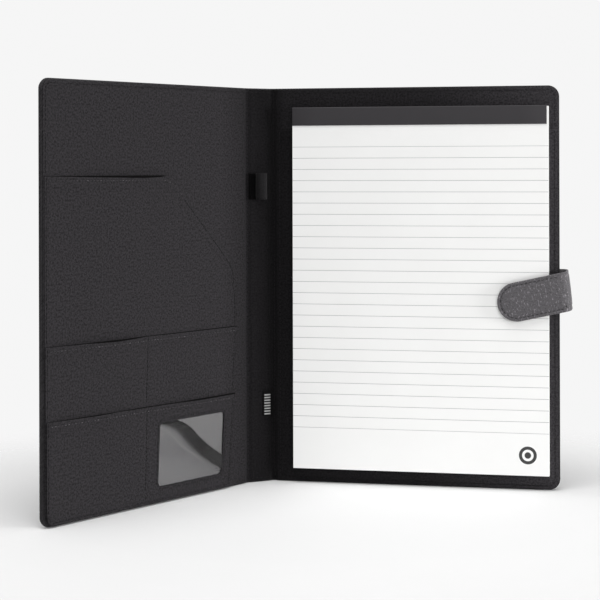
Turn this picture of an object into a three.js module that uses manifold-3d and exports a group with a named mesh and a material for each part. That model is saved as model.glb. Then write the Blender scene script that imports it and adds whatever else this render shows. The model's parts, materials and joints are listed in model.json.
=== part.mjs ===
// An A4 conference folder that stands open on its bottom edges like a book. Two board covers and
// a narrow spine are wrapped in one cloth skin and lined with cloth, and fold at two gutters.
// The front cover carries three sewn pockets, the back cover a slot panel that holds a writing pad,
// and a strap with a magnet in its tip comes round the fore-edge and lies over the pad.
//
// Millimetres, +Z up. Panels are drawn in the plane of an open, flat folder: x runs from a gutter
// to the fore-edge, z up the page, and y through the thickness, with the reader on the -y side.
import * as THREE from 'three';
import { mergeVertices } from 'three/addons/utils/BufferGeometryUtils.js';
import Module from 'manifold-3d';

const wasm = await Module();
wasm.setup();

// Writing pad, and the margins that the back cover leaves round it
const padWidth = 210;
const padHeight = 297;
const padStart = 19.5;
const padFloor = 12.3;
const padForeEdgeMargin = 8;
const padHeadMargin = 16.7;
const padThickness = 5;
const padGlueHeight = 18;
const backingThickness = 0.6;
const tapeThickness = 0.25;
const tapeHeight = 14.5;
const tapeEndInset = 1.2;

// Covers, both of them made for that pad, and spine
const spineWidth = 25;
const cornerRadius = 9;
const edgeRounding = 1.0;
const skinThickness = 0.6;
const boardThickness = 1.5;
const hemThickness = 0.5;
const hemWidth = 14;
const liningThickness = 0.7;
const liningInset = 1.0;
const layerGap = 0.3;

// Gutters, and how far each one is folded while the folder stands open
const gutterSetback = 4;
const webThickness = 1.5;
const backFold = THREE.MathUtils.degToRad(42);
const frontFold = THREE.MathUtils.degToRad(23.6);
const standingYaw = THREE.MathUtils.degToRad(-12.25);

// Pockets of the front cover: distances from the front gutter and from the bottom edge
const clothThickness = 0.4;
const pocketInset = 1.8;
const pocketStart = 16;
const pocketLean = 11.4;
const documentMouth = 254.6;
const documentShoulder = 96.5;
const documentKneeHeight = 179;
const documentCornerRadius = 15;
const documentKneeRadius = 14;
const documentGape = 1.4;
const dividerSeam = 125;
const middleMouth = 131;
const middleGape = 2.2;
const cardMouth = 76.8;
const cardGape = 1.3;
const windowStart = 28.5;
const windowWidth = 81;
const windowBottom = 13.5;
const windowHeight = 49.4;
const windowRadius = 4;
const filmThickness = 0.2;
const filmOverlap = 5;

// Slot panel on the back cover
const slotStart = 4.6;
const slotHemWidth = 6;

// Strap, folded round the back cover's fore-edge along a line that leans from the upright
const strapWidth = 31.5;
const strapBelowMiddle = 0.8;
const strapLean = THREE.MathUtils.degToRad(6.2);
const strapOverhang = 2.9;
const strapBendRadius = 5;
const bandThickness = 2.0;
const anchorLength = 62;
const anchorCornerRadius = 4;
const flapLength = 53;
const flapLift = 0.8;
const flapClothThickness = 0.6;
const stiffenerThickness = 1.0;
const stiffenerInset = 3.5;
const magnetRadius = 7;
const magnetFromTip = 16;

// Steel disc under the front skin that the magnet closes on
const keeperRadius = 8;
const keeperThickness = 0.6;
const keeperFromForeEdge = 24;

// Pen loop over the spine and the woven tag beside the back gutter
const loopBottom = 234;
const loopHeight = 21.5;
const loopLength = 9.6;
const loopDepth = 9.6;
const loopTab = 1.7;
const loopCloth = 1.1;
const tagBottom = 54.6;
const tagHeight = 20.7;
const tagWidth = 6.5;
const tagThickness = 0.8;

// Facets
const cornerSteps = 5;
const bendSteps = 6;
const loopSteps = 28;
const pocketColumns = 20;
const pocketRows = 6;

// Outlines of the covers, and the heights that follow the pad
const coverWidth = padStart + padWidth + padForeEdgeMargin;
const coverHeight = padFloor + padHeight + padHeadMargin;
const padTop = padFloor + padHeight;
const padSeat = padTop - padGlueHeight;
const slotMouth = padSeat - layerGap;
const strapHeight = coverHeight / 2 - strapBelowMiddle;

// Depths through a cover, from the outer face (+y) to the face that the reader sees (-y)
const coverThickness =
  skinThickness + boardThickness + hemThickness + liningThickness + 3 * layerGap;
const outerFace = coverThickness / 2;
const skinInside = outerFace - skinThickness;
const boardOutside = skinInside - layerGap;
const boardInside = boardOutside - boardThickness;
const hemOutside = boardInside - layerGap;
const hemInside = hemOutside - hemThickness;
const liningOutside = hemInside - layerGap;
const innerFace = -outerFace;

// Depths of the pad on the back cover: tape, backing board, slot panel, leaves
const backingOutside = innerFace - 2 * layerGap - tapeThickness;
const backingInside = backingOutside - backingThickness;
const slotOutside = backingInside - layerGap;
const slotInside = slotOutside - clothThickness;
const leavesBack = slotInside - layerGap;
const leavesFront = leavesBack - padThickness;

// Depths and lengths of the strap
const flapThickness = 2 * flapClothThickness + stiffenerThickness + 2 * layerGap;
const anchorDepth = outerFace + layerGap + bandThickness / 2;
const flapDepth = leavesFront - flapLift - flapThickness / 2;
const bendLength = strapBendRadius * Math.PI / 2;
const bridgeLength = anchorDepth - flapDepth - 2 * strapBendRadius;
const bridgeStart = bendLength;
const bridgeEnd = bridgeStart + bridgeLength;
const flapStart = bridgeEnd + bendLength;

// Materials
const cloth = (color) => new THREE.MeshStandardMaterial({ color, roughness: 0.95, metalness: 0 });
const card = (color) => new THREE.MeshStandardMaterial({ color, roughness: 0.8, metalness: 0 });
const steel = (color) => new THREE.MeshStandardMaterial({ color, roughness: 0.35, metalness: 1 });
const clearFilm = (color) =>
  new THREE.MeshStandardMaterial({ color, roughness: 0.15, metalness: 0, transparent: true, opacity: 0.5 });

// Solids and meshes
function solidOf(geometry) {
  const bare = new THREE.BufferGeometry();
  bare.setAttribute('position', geometry.getAttribute('position').clone());
  if (geometry.index) {
    bare.setIndex(geometry.index.clone());
  }
  const merged = mergeVertices(bare, 1e-4);
  const mesh = new wasm.Mesh({
    numProp: 3,
    vertProperties: new Float32Array(merged.getAttribute('position').array),
    triVerts: new Uint32Array(merged.index.array),
  });
  return new wasm.Manifold(mesh);
}

function geometryOf(solid) {
  const mesh = solid.getMesh();
  const geometry = new THREE.BufferGeometry();
  geometry.setAttribute('position', new THREE.BufferAttribute(mesh.vertProperties, 3));
  geometry.setIndex(new THREE.BufferAttribute(mesh.triVerts, 1));
  return geometry;
}

function turnedInsideOut(geometry) {
  const flipped = geometry.index ? geometry.toNonIndexed() : geometry;
  const position = flipped.getAttribute('position');
  const from = new THREE.Vector3();
  const to = new THREE.Vector3();
  for (let corner = 0; corner < position.count; corner += 3) {
    from.fromBufferAttribute(position, corner + 1);
    to.fromBufferAttribute(position, corner + 2);
    position.setXYZ(corner + 1, to.x, to.y, to.z);
    position.setXYZ(corner + 2, from.x, from.y, from.z);
  }
  return flipped;
}

function mirrored(geometry) {
  return turnedInsideOut(geometry.clone().scale(-1, 1, 1));
}

function mapped(geometry, place) {
  const position = geometry.getAttribute('position');
  for (let i = 0; i < position.count; i += 1) {
    const point = place(position.getX(i), position.getY(i), position.getZ(i));
    position.setXYZ(i, point.x, point.y, point.z);
  }
  return geometry;
}

function meshOf(name, geometry, material) {
  const bare = new THREE.BufferGeometry();
  bare.setAttribute('position', geometry.getAttribute('position'));
  bare.setIndex(geometry.index);
  const mesh = new THREE.Mesh(mergeVertices(bare, 1e-4), material);
  mesh.geometry.computeVertexNormals();
  mesh.name = name;
  return mesh;
}

// A flat outline in x and z given its thickness, from depth `near` to depth `far`
function slab(shape, near, far) {
  const geometry = new THREE.ExtrudeGeometry(shape, {
    depth: far - near,
    bevelEnabled: false,
    curveSegments: cornerSteps,
  });
  return geometry.rotateX(Math.PI / 2).translate(0, far, 0);
}

// The same with its edges rounded, all inside the outline's reach of `grow`
function roundedSlab(shape, near, far, grow) {
  const geometry = new THREE.ExtrudeGeometry(shape, {
    depth: far - near - 2 * grow,
    bevelEnabled: true,
    bevelSize: grow,
    bevelThickness: grow,
    bevelSegments: 3,
    curveSegments: cornerSteps,
  });
  return geometry.rotateX(Math.PI / 2).translate(0, far - grow, 0);
}

// Cover outline: square at the gutter, rounded at the two fore-edge corners
function coverShape(start, inset) {
  const end = coverWidth - inset;
  const top = coverHeight - inset;
  const radius = cornerRadius - Math.min(inset, cornerRadius - 1);
  const shape = new THREE.Shape();
  shape.moveTo(start, inset);
  shape.lineTo(end - radius, inset);
  shape.absarc(end - radius, inset + radius, radius, -Math.PI / 2, 0, false);
  shape.lineTo(end, top - radius);
  shape.absarc(end - radius, top - radius, radius, 0, Math.PI / 2, false);
  shape.lineTo(start, top);
  shape.closePath();
  return shape;
}

function stripShape(start, end, inset) {
  const shape = new THREE.Shape();
  shape.moveTo(start, inset);
  shape.lineTo(end, inset);
  shape.lineTo(end, coverHeight - inset);
  shape.lineTo(start, coverHeight - inset);
  shape.closePath();
  return shape;
}

function boxBetween(x0, x1, y0, y1, z0, z1) {
  const box = new THREE.BoxGeometry(x1 - x0, y1 - y0, z1 - z0);
  return solidOf(box.translate((x0 + x1) / 2, (y0 + y1) / 2, (z0 + z1) / 2));
}

// Cloth skin of one panel: a sheet over the outside whose edges turn round the board and end in a hem
function skin(start, end, outline) {
  const beyond = 2 * coverThickness;
  const body = solidOf(roundedSlab(outline(-beyond, edgeRounding), hemInside, outerFace, edgeRounding));
  const boardRoom = solidOf(slab(outline(-beyond, skinThickness), hemOutside, skinInside));
  const mouth = solidOf(slab(outline(-beyond, hemWidth), hemInside - beyond, hemOutside + layerGap));
  const keep = boxBetween(start, end, -coverThickness, coverThickness, -1, coverHeight + 1);
  return geometryOf(body.subtract(boardRoom).subtract(mouth).intersect(keep));
}

function coverSkin() {
  const outline = (overrun, inset) => coverShape(gutterSetback + overrun, inset);
  return skin(gutterSetback, coverWidth + 1, outline);
}

function spineSkin() {
  const outline = (overrun, inset) =>
    stripShape(gutterSetback - spineWidth + overrun, -gutterSetback - overrun, inset);
  return skin(gutterSetback - spineWidth, -gutterSetback, outline);
}

// Board of one cover, which fills its skin with a small gap all round
function coverBoard() {
  return slab(coverShape(gutterSetback + layerGap, skinThickness + layerGap), boardInside, boardOutside);
}

function spineBoard() {
  const from = gutterSetback + layerGap - spineWidth;
  const to = -gutterSetback - layerGap;
  return slab(stripShape(from, to, skinThickness + layerGap), boardInside, boardOutside);
}

function coverLining() {
  return slab(coverShape(gutterSetback, liningInset), innerFace, liningOutside);
}

function spineLining() {
  const shape = stripShape(gutterSetback - spineWidth, -gutterSetback, liningInset);
  return slab(shape, innerFace, liningOutside);
}

// Cloth hinge at a gutter: as thick as the panels at its ends, thin along the fold, bent by `fold`
function hingeWeb(fold) {
  const reach = gutterSetback - layerGap;
  const bend = new THREE.QuadraticBezierCurve(
    new THREE.Vector2(reach, 0),
    new THREE.Vector2(0, 0),
    new THREE.Vector2(-reach * Math.cos(fold), -reach * Math.sin(fold)),
  );
  const outside = [];
  const inside = [];
  for (let i = 0; i <= 2 * bendSteps; i += 1) {
    const along = i / (2 * bendSteps);
    const half = (webThickness + (coverThickness - webThickness) * (2 * along - 1) ** 2) / 2;
    const centre = bend.getPoint(along);
    const ahead = bend.getTangent(along);
    outside.push(new THREE.Vector2(centre.x + half * ahead.y, centre.y - half * ahead.x));
    inside.push(new THREE.Vector2(centre.x - half * ahead.y, centre.y + half * ahead.x));
  }
  const shape = new THREE.Shape(outside.concat(inside.reverse()));
  const height = coverHeight - 2 * liningInset;
  const web = new THREE.ExtrudeGeometry(shape, { depth: height, bevelEnabled: false });
  return web.translate(0, 0, liningInset);
}

// Bottom edge of a pocket: straight, then round the cover's corner near the fore-edge
function pocketFloor(x) {
  const radius = cornerRadius - pocketInset;
  const past = Math.max(0, x - (coverWidth - cornerRadius));
  return pocketInset + radius - Math.sqrt(Math.max(0, radius ** 2 - past ** 2));
}

// Sewn cloth panel: columns from the floor to the mouth, which bows towards the reader by gape(x)
function pocketPanel(from, to, depth, mouth, gape, stiffness) {
  const sheet = new THREE.BoxGeometry(1, 1, 1, pocketColumns, 1, pocketRows);
  return mapped(sheet, (a, b, c) => {
    const x = from + (a + 0.5) * (to - from);
    const rise = c + 0.5;
    const floor = pocketFloor(x);
    const bow = gape(x) * rise ** stiffness;
    return new THREE.Vector3(x, depth - bow + b * clothThickness, floor + (mouth(x) - floor) * rise);
  });
}

// One half wave between two seams, nought outside them
function lobe(x, from, to) {
  return x > from && x < to ? Math.sin(Math.PI * (x - from) / (to - from)) : 0;
}

// Mouth of the document pocket: level from the fore-edge, round a shoulder, down a slant, round a knee
function documentOutline() {
  const corner = new THREE.Vector2(documentShoulder, documentMouth);
  const knee = new THREE.Vector2(pocketStart, documentKneeHeight);
  const slant = corner.clone().sub(knee).normalize();
  const path = new THREE.CurvePath();
  const shoulderIn = corner.clone().add(new THREE.Vector2(documentCornerRadius, 0));
  const shoulderOut = corner.clone().addScaledVector(slant, -documentCornerRadius);
  const kneeIn = knee.clone().addScaledVector(slant, documentKneeRadius);
  const kneeOut = knee.clone().add(new THREE.Vector2(0, -documentKneeRadius));
  const foreEdge = new THREE.Vector2(coverWidth - pocketInset, documentMouth);
  path.add(new THREE.LineCurve(foreEdge, shoulderIn));
  path.add(new THREE.QuadraticBezierCurve(shoulderIn, corner, shoulderOut));
  path.add(new THREE.LineCurve(shoulderOut, kneeIn));
  path.add(new THREE.QuadraticBezierCurve(kneeIn, knee, kneeOut));
  return path;
}

// Height of the document pocket's mouth over x, read off its outline
function documentRim() {
  const samples = documentOutline().getSpacedPoints(400);
  return (x) => {
    const after = samples.findIndex((point) => point.x <= x);
    if (after <= 0) {
      return after === 0 ? samples[0].y : samples[samples.length - 1].y;
    }
    const a = samples[after - 1];
    const b = samples[after];
    return b.y + (a.y - b.y) * (x - b.x) / Math.max(a.x - b.x, 1e-6);
  };
}

const pocketEnd = coverWidth - pocketInset;
const documentDepth = innerFace - layerGap - clothThickness / 2;
const middleDepth = documentDepth - clothThickness - layerGap;
const filmDepth = middleDepth - clothThickness / 2 - layerGap - filmThickness / 2;
const cardDepth = filmDepth - filmThickness / 2 - layerGap - clothThickness / 2;

// Pocket panels and window taper: below the middle mouth their gutter side leans to the fore-edge
function tapered(geometry) {
  return mapped(geometry, (x, y, z) => {
    const lean = pocketLean * Math.max(0, 1 - z / middleMouth);
    const share = (pocketEnd - x) / (pocketEnd - pocketStart);
    return new THREE.Vector3(x + lean * share, y, z);
  });
}

function documentPocket() {
  const levelMouth = documentShoulder + documentCornerRadius / 2;
  const gape = (x) => documentGape * lobe(x, levelMouth, pocketEnd);
  return tapered(pocketPanel(pocketStart, pocketEnd, documentDepth, documentRim(), gape, 6));
}

function middlePocket() {
  const gape = (x) =>
    middleGape * (lobe(x, dividerSeam, pocketEnd) + lobe(x, pocketStart, dividerSeam) / 2);
  return tapered(pocketPanel(pocketStart, pocketEnd, middleDepth, () => middleMouth, gape, 4));
}

function windowShape(grow) {
  const x0 = windowStart - grow;
  const x1 = windowStart + windowWidth + grow;
  const z0 = windowBottom - grow;
  const z1 = windowBottom + windowHeight + grow;
  const r = windowRadius;
  const shape = new THREE.Shape();
  shape.moveTo(x0 + r, z0);
  shape.lineTo(x1 - r, z0);
  shape.absarc(x1 - r, z0 + r, r, -Math.PI / 2, 0, false);
  shape.lineTo(x1, z1 - r);
  shape.absarc(x1 - r, z1 - r, r, 0, Math.PI / 2, false);
  shape.lineTo(x0 + r, z1);
  shape.absarc(x0 + r, z1 - r, r, Math.PI / 2, Math.PI, false);
  shape.lineTo(x0, z0 + r);
  shape.absarc(x0 + r, z0 + r, r, Math.PI, 1.5 * Math.PI, false);
  return shape;
}

// Lowest pocket, with a window cut through its inner half
function cardPocket() {
  const gape = (x) =>
    cardGape * (lobe(x, dividerSeam, pocketEnd) + lobe(x, pocketStart, dividerSeam));
  const panel = pocketPanel(pocketStart, pocketEnd, cardDepth, () => cardMouth, gape, 6);
  const reach = 4 * clothThickness + cardGape;
  const cut = slab(windowShape(0), cardDepth - reach, cardDepth + reach);
  return tapered(geometryOf(solidOf(panel).subtract(solidOf(cut))));
}

function cardWindow() {
  const near = filmDepth - filmThickness / 2;
  return tapered(slab(windowShape(filmOverlap), near, near + filmThickness));
}

// Disc that lies in the plane of a cover, or the recess for one
function disc(radius, x, z, near, far) {
  const shape = new THREE.Shape();
  shape.absarc(x, z, radius, 0, 2 * Math.PI, false);
  const geometry = new THREE.ExtrudeGeometry(shape, {
    depth: far - near,
    bevelEnabled: false,
    curveSegments: loopSteps,
  });
  return geometry.rotateX(Math.PI / 2).translate(0, far, 0);
}

const keeperX = coverWidth - keeperFromForeEdge;

function keeperPlate() {
  return disc(keeperRadius, keeperX, strapHeight, boardOutside - keeperThickness, boardOutside);
}

function frontBoard() {
  const floor = boardOutside - keeperThickness - layerGap;
  const recess = disc(keeperRadius + layerGap, keeperX, strapHeight, floor, outerFace);
  return geometryOf(solidOf(coverBoard()).subtract(solidOf(recess)));
}

// Slot panel: a cloth sheet with a folded hem sewn down along three sides, open at the top
function slotPanel() {
  const end = coverWidth - liningInset;
  const blank = solidOf(slab(coverShape(slotStart, liningInset), slotInside, innerFace - layerGap));
  const above = boxBetween(0, coverWidth, -coverWidth, coverWidth, slotMouth, coverHeight + 1);
  const room = boxBetween(
    slotStart + slotHemWidth,
    end - slotHemWidth,
    slotOutside,
    innerFace,
    liningInset + slotHemWidth,
    coverHeight,
  );
  return geometryOf(blank.subtract(above).subtract(room));
}

// A profile in depth y and height z, drawn out along x
function prism(points, from, to) {
  const shape = new THREE.Shape(points.map(([y, z]) => new THREE.Vector2(y, z)));
  const geometry = new THREE.ExtrudeGeometry(shape, { depth: to - from, bevelEnabled: false });
  return mapped(geometry, (y, z, x) => new THREE.Vector3(from + x, y, z));
}

// Leaves of the pad: glued together above the slot's mouth, where they reach back to the backing
function padLeaves() {
  const profile = [
    [leavesFront, padFloor],
    [leavesBack, padFloor],
    [leavesBack, padSeat],
    [slotOutside, padSeat],
    [slotOutside, padTop],
    [leavesFront, padTop],
  ];
  return prism(profile, padStart, padStart + padWidth);
}

function padBacking() {
  const profile = [
    [backingInside, padFloor],
    [backingOutside, padFloor],
    [backingOutside, padTop],
    [backingInside, padTop],
  ];
  return prism(profile, padStart, padStart + padWidth);
}

// Binding tape over the head of the pad: down the front, over the top and down the back
function headTape() {
  const front = leavesFront - layerGap;
  const back = backingOutside + layerGap;
  const low = padTop - tapeHeight;
  const top = padTop + layerGap;
  const profile = [
    [front, low],
    [front, top],
    [back, top],
    [back, low],
    [back + tapeThickness, low],
    [back + tapeThickness, top + tapeThickness],
    [front - tapeThickness, top + tapeThickness],
    [front - tapeThickness, low],
  ];
  return prism(profile, padStart, padStart + padWidth - tapeEndInset);
}

// Place on the strap: s along it from the first bend, w across it, n outwards from its middle.
// It runs straight, turns a quarter circle, crosses the pad's depth, turns again and runs back.
function strapPoint(s, w, n) {
  const r = strapBendRadius;
  let out = s;
  let depth = anchorDepth + n;
  if (s > flapStart) {
    out = flapStart - s;
    depth = flapDepth - n;
  } else if (s > bridgeEnd) {
    const turn = Math.PI / 2 + (s - bridgeEnd) / r;
    out = (r + n) * Math.sin(turn);
    depth = flapDepth + r + (r + n) * Math.cos(turn);
  } else if (s > bridgeStart) {
    out = r + n;
    depth = anchorDepth - r - (s - bridgeStart);
  } else if (s > 0) {
    out = (r + n) * Math.sin(s / r);
    depth = anchorDepth - r + (r + n) * Math.cos(s / r);
  }
  return new THREE.Vector3(
    coverWidth + strapOverhang + out * Math.cos(strapLean) - w * Math.sin(strapLean),
    depth,
    strapHeight + out * Math.sin(strapLean) + w * Math.cos(strapLean),
  );
}

// Outline of one end of the strap, cut square to the fold at s and rounded at its far corners
function strapShape(s, length, inset, farRadius, sense) {
  const half = strapWidth / 2 - inset;
  const radius = farRadius - inset;
  const across = half / Math.cos(strapLean);
  const middle = -s * Math.tan(strapLean);
  const ahead = new THREE.Vector2(Math.cos(strapLean), -Math.sin(strapLean));
  const up = new THREE.Vector2(Math.sin(strapLean), Math.cos(strapLean));
  const far = new THREE.Vector2(s, middle).addScaledVector(ahead, sense * (length - inset - radius));
  const upper = far.clone().addScaledVector(up, half - radius);
  const lower = far.clone().addScaledVector(up, radius - half);
  const upAngle = Math.PI / 2 - strapLean;
  const farAngle = sense > 0 ? -strapLean : Math.PI - strapLean;
  const shape = new THREE.Shape();
  shape.moveTo(s, middle - across);
  shape.lineTo(s, middle + across);
  shape.absarc(upper.x, upper.y, radius, upAngle, farAngle, sense > 0);
  shape.absarc(lower.x, lower.y, radius, farAngle, upAngle - sense * Math.PI, sense > 0);
  shape.closePath();
  return shape;
}

// A flat layer of the strap from its outline, between two offsets from the strap's middle
function strapLayer(shape, from, to) {
  const geometry = new THREE.ExtrudeGeometry(shape, {
    depth: to - from,
    bevelEnabled: false,
    curveSegments: 2 * bendSteps,
  });
  return turnedInsideOut(mapped(geometry, (s, w, n) => strapPoint(s, w, from + n)));
}

// A stretch of the strap's full width, bent where the strap is
function strapBand(from, to, steps) {
  const band = new THREE.BoxGeometry(1, 1, 1, steps, 1, 1);
  const across = strapWidth / Math.cos(strapLean);
  const placed = mapped(band, (a, b, c) => {
    const s = from + (a + 0.5) * (to - from);
    return strapPoint(s, b * across - s * Math.tan(strapLean), c * bandThickness);
  });
  return turnedInsideOut(placed);
}

function flapShape(inset) {
  return strapShape(flapStart + inset, flapLength - inset, inset, strapWidth / 2, 1);
}

const magnetPlace = new THREE.Vector2(flapStart, -flapStart * Math.tan(strapLean)).addScaledVector(
  new THREE.Vector2(Math.cos(strapLean), -Math.sin(strapLean)),
  flapLength - magnetFromTip,
);

function circlePath(radius, path) {
  path.absarc(magnetPlace.x, magnetPlace.y, radius, 0, 2 * Math.PI, false);
  return path;
}

function strapAnchor() {
  const shape = strapShape(0, anchorLength, 0, anchorCornerRadius, -1);
  return strapLayer(shape, -bandThickness / 2, bandThickness / 2);
}

function strapStiffener() {
  const shape = flapShape(stiffenerInset);
  shape.holes.push(circlePath(magnetRadius + layerGap, new THREE.Path()));
  return strapLayer(shape, -stiffenerThickness / 2, stiffenerThickness / 2);
}

function strapMagnet() {
  const shape = circlePath(magnetRadius, new THREE.Shape());
  return strapLayer(shape, -stiffenerThickness / 2, stiffenerThickness / 2);
}

// Pen loop: a ring of elastic, with the tab where both its ends are sewn into the front gutter
function penLoop() {
  const left = gutterSetback + layerGap - spineWidth;
  const x = left + loopTab + loopLength / 2;
  const y = innerFace - layerGap - loopDepth / 2;
  const ring = new THREE.Shape();
  ring.absellipse(x, y, loopLength / 2, loopDepth / 2, 0, 2 * Math.PI, false, 0);
  const hollow = new THREE.Path();
  const inLength = loopLength / 2 - loopCloth;
  const inDepth = loopDepth / 2 - loopCloth;
  hollow.absellipse(x, y, inLength, inDepth, 0, 2 * Math.PI, false, 0);
  ring.holes.push(hollow);
  const band = new THREE.ExtrudeGeometry(ring, {
    depth: loopHeight,
    bevelEnabled: false,
    curveSegments: loopSteps,
  });
  const top = loopBottom + loopHeight;
  const sewnDown = y + loopDepth / 2;
  const tab = boxBetween(left, x, sewnDown - loopCloth, sewnDown, loopBottom, top);
  return geometryOf(solidOf(band.translate(0, 0, loopBottom)).add(tab));
}

// Woven tag: a ribbon folded double, its raw ends in the back gutter's seam
function wovenTag() {
  const right = -gutterSetback - layerGap;
  const back = innerFace - layerGap;
  const radius = tagThickness / 2;
  const shape = new THREE.Shape();
  shape.moveTo(right, back - tagThickness);
  shape.lineTo(right, back);
  shape.lineTo(right - tagWidth + radius, back);
  shape.absarc(right - tagWidth + radius, back - radius, radius, Math.PI / 2, 1.5 * Math.PI, false);
  const ribbon = new THREE.ExtrudeGeometry(shape, {
    depth: tagHeight,
    bevelEnabled: false,
    curveSegments: cornerSteps,
  });
  return ribbon.translate(0, 0, tagBottom);
}

// Colours read off the cloth, the strap, the paper and the film
const skinColour = 0x2e2d2f;
const liningColour = 0x39373a;
const pocketColour = 0x3b393c;
const strapColour = 0x646462;
const strapInsideColour = 0x3a3a3a;
const boardColour = 0x8d8676;
const paperColour = 0xf4f3f0;
const tapeColour = 0x3e3c40;
const elasticColour = 0x1d1d1f;
const steelColour = 0xb8bcc0;
const filmColour = 0x9aa0a4;

function backCover() {
  const group = new THREE.Group();
  group.add(meshOf('back_outer_skin', coverSkin(), cloth(skinColour)));
  group.add(meshOf('back_board', coverBoard(), card(boardColour)));
  group.add(meshOf('back_lining', coverLining(), cloth(liningColour)));
  group.add(meshOf('pad_pocket', slotPanel(), cloth(pocketColour)));
  group.add(meshOf('strap_anchor', strapAnchor(), cloth(strapColour)));
  group.add(meshOf('back_hinge_web', hingeWeb(backFold), cloth(skinColour)));
  return group;
}

function notepad() {
  const group = new THREE.Group();
  group.add(meshOf('pad_leaves', padLeaves(), card(paperColour)));
  group.add(meshOf('pad_backing', padBacking(), card(boardColour)));
  group.add(meshOf('pad_head_tape', headTape(), card(tapeColour)));
  return group;
}

function strap() {
  const half = flapThickness / 2;
  const inset = layerGap;
  const group = new THREE.Group();
  const rootBend = strapBand(inset, bridgeStart - inset, bendSteps);
  const tipBend = strapBand(bridgeEnd + inset, flapStart - inset, bendSteps);
  group.add(meshOf('strap_root_bend', rootBend, cloth(strapColour)));
  group.add(meshOf('strap_bridge', strapBand(bridgeStart, bridgeEnd, 1), cloth(strapColour)));
  group.add(meshOf('strap_tip_bend', tipBend, cloth(strapColour)));
  const outer = strapLayer(flapShape(0), half - flapClothThickness, half);
  const under = strapLayer(flapShape(0), -half, flapClothThickness - half);
  group.add(meshOf('strap_flap_outer', outer, cloth(strapColour)));
  group.add(meshOf('strap_flap_lining', under, cloth(strapInsideColour)));
  group.add(meshOf('strap_stiffener', strapStiffener(), card(boardColour)));
  group.add(meshOf('strap_magnet', strapMagnet(), steel(steelColour)));
  return group;
}

function spine() {
  const group = new THREE.Group();
  group.add(meshOf('spine_outer_skin', spineSkin(), cloth(skinColour)));
  group.add(meshOf('spine_board', spineBoard(), card(boardColour)));
  group.add(meshOf('spine_lining', spineLining(), cloth(liningColour)));
  group.add(meshOf('pen_loop', penLoop(), cloth(elasticColour)));
  group.add(meshOf('woven_tag', wovenTag(), cloth(elasticColour)));
  const web = meshOf('front_hinge_web', hingeWeb(frontFold), cloth(skinColour));
  web.position.x = -spineWidth;
  group.add(web);
  return group;
}

// The front cover is drawn from gutter to fore-edge like the back one, then mirrored to its left
function frontCover() {
  const group = new THREE.Group();
  const add = (name, geometry, material) => group.add(meshOf(name, mirrored(geometry), material));
  add('front_outer_skin', coverSkin(), cloth(skinColour));
  add('front_board', frontBoard(), card(boardColour));
  add('front_keeper_plate', keeperPlate(), steel(steelColour));
  add('front_lining', coverLining(), cloth(liningColour));
  add('document_pocket', documentPocket(), cloth(pocketColour));
  add('middle_pocket', middlePocket(), cloth(pocketColour));
  add('card_pocket', cardPocket(), cloth(pocketColour));
  add('card_window', cardWindow(), clearFilm(filmColour));
  return group;
}

// Assembly: the spine turns about the back gutter, the front cover about the front gutter
function folder() {
  const back = backCover();
  const middle = spine();
  const front = frontCover();
  back.add(notepad(), strap(), middle);
  middle.add(front);
  middle.rotation.z = backFold;
  front.position.x = -spineWidth;
  front.rotation.z = frontFold;
  back.rotation.z = standingYaw;
  return back;
}

// The origin lies on the ground, under the middle of everything
const portfolio = new THREE.Group();
const standing = folder();
portfolio.add(standing);
portfolio.updateMatrixWorld(true);
const reach = new THREE.Box3().setFromObject(portfolio, true);
const middlePoint = reach.getCenter(new THREE.Vector3());
standing.position.set(-middlePoint.x, -middlePoint.y, -reach.min.z);

export default portfolio;
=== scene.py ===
# %% [markdown]
# An open conference folder, dressed on its CAD frame.
# The folder stands like a book on its bottom edges: a front cover with three sewn pockets, a narrow
# spine, and a back cover with a slot panel, a writing pad and a strap. The boards, the steel disc
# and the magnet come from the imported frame. What is made of cloth, thread, paper or film is modelled
# here, in metres and in the frame's own coordinates, so nothing has to be fitted afterwards.

import json
import math

import bmesh
import bpy
import numpy as np
from mathutils import Matrix, Vector


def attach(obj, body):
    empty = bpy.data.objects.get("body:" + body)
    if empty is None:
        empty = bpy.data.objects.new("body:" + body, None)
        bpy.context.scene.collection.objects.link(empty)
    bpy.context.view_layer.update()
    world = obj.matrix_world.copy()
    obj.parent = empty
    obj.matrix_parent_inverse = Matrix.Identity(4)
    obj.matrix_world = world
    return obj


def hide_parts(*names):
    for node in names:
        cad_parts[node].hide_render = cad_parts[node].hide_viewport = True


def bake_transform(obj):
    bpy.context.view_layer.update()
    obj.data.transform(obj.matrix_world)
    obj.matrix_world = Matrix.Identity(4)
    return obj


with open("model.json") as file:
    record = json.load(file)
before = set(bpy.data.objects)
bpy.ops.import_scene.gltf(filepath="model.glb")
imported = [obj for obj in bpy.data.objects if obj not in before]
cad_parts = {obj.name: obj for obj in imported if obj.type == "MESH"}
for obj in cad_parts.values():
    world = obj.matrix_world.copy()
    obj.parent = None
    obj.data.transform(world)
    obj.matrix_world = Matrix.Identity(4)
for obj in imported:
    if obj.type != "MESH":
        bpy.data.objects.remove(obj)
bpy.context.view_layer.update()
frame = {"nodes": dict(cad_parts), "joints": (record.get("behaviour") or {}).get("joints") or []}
joints = {joint["name"]: joint for joint in frame["joints"]}

# %% [markdown]
# Every panel of the folder is flat, so it is easiest to draw it in its own plane: x away from the
# back gutter, y through the thickness with the reader on the minus side, z up the page. A panel is
# then turned about the upright by its yaw and moved to its gutter. The yaws follow from the hinges:
# a gutter's closed limit says how far it stands folded now. Sizes are measured on the CAD nodes in
# the same planes, so a change in the CAD moves the cloth with it.

# %% Panels and how to place points on them
MM = 0.001
STANDING_YAW = math.radians(-12.25)


def gutter(name):
    """Place of a gutter's axis in the row frame, and the angle it is folded by at rest."""
    joint = joints[name]
    return np.array(joint["pos_m"][:2]), -math.radians(joint["range_deg"][0])


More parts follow.
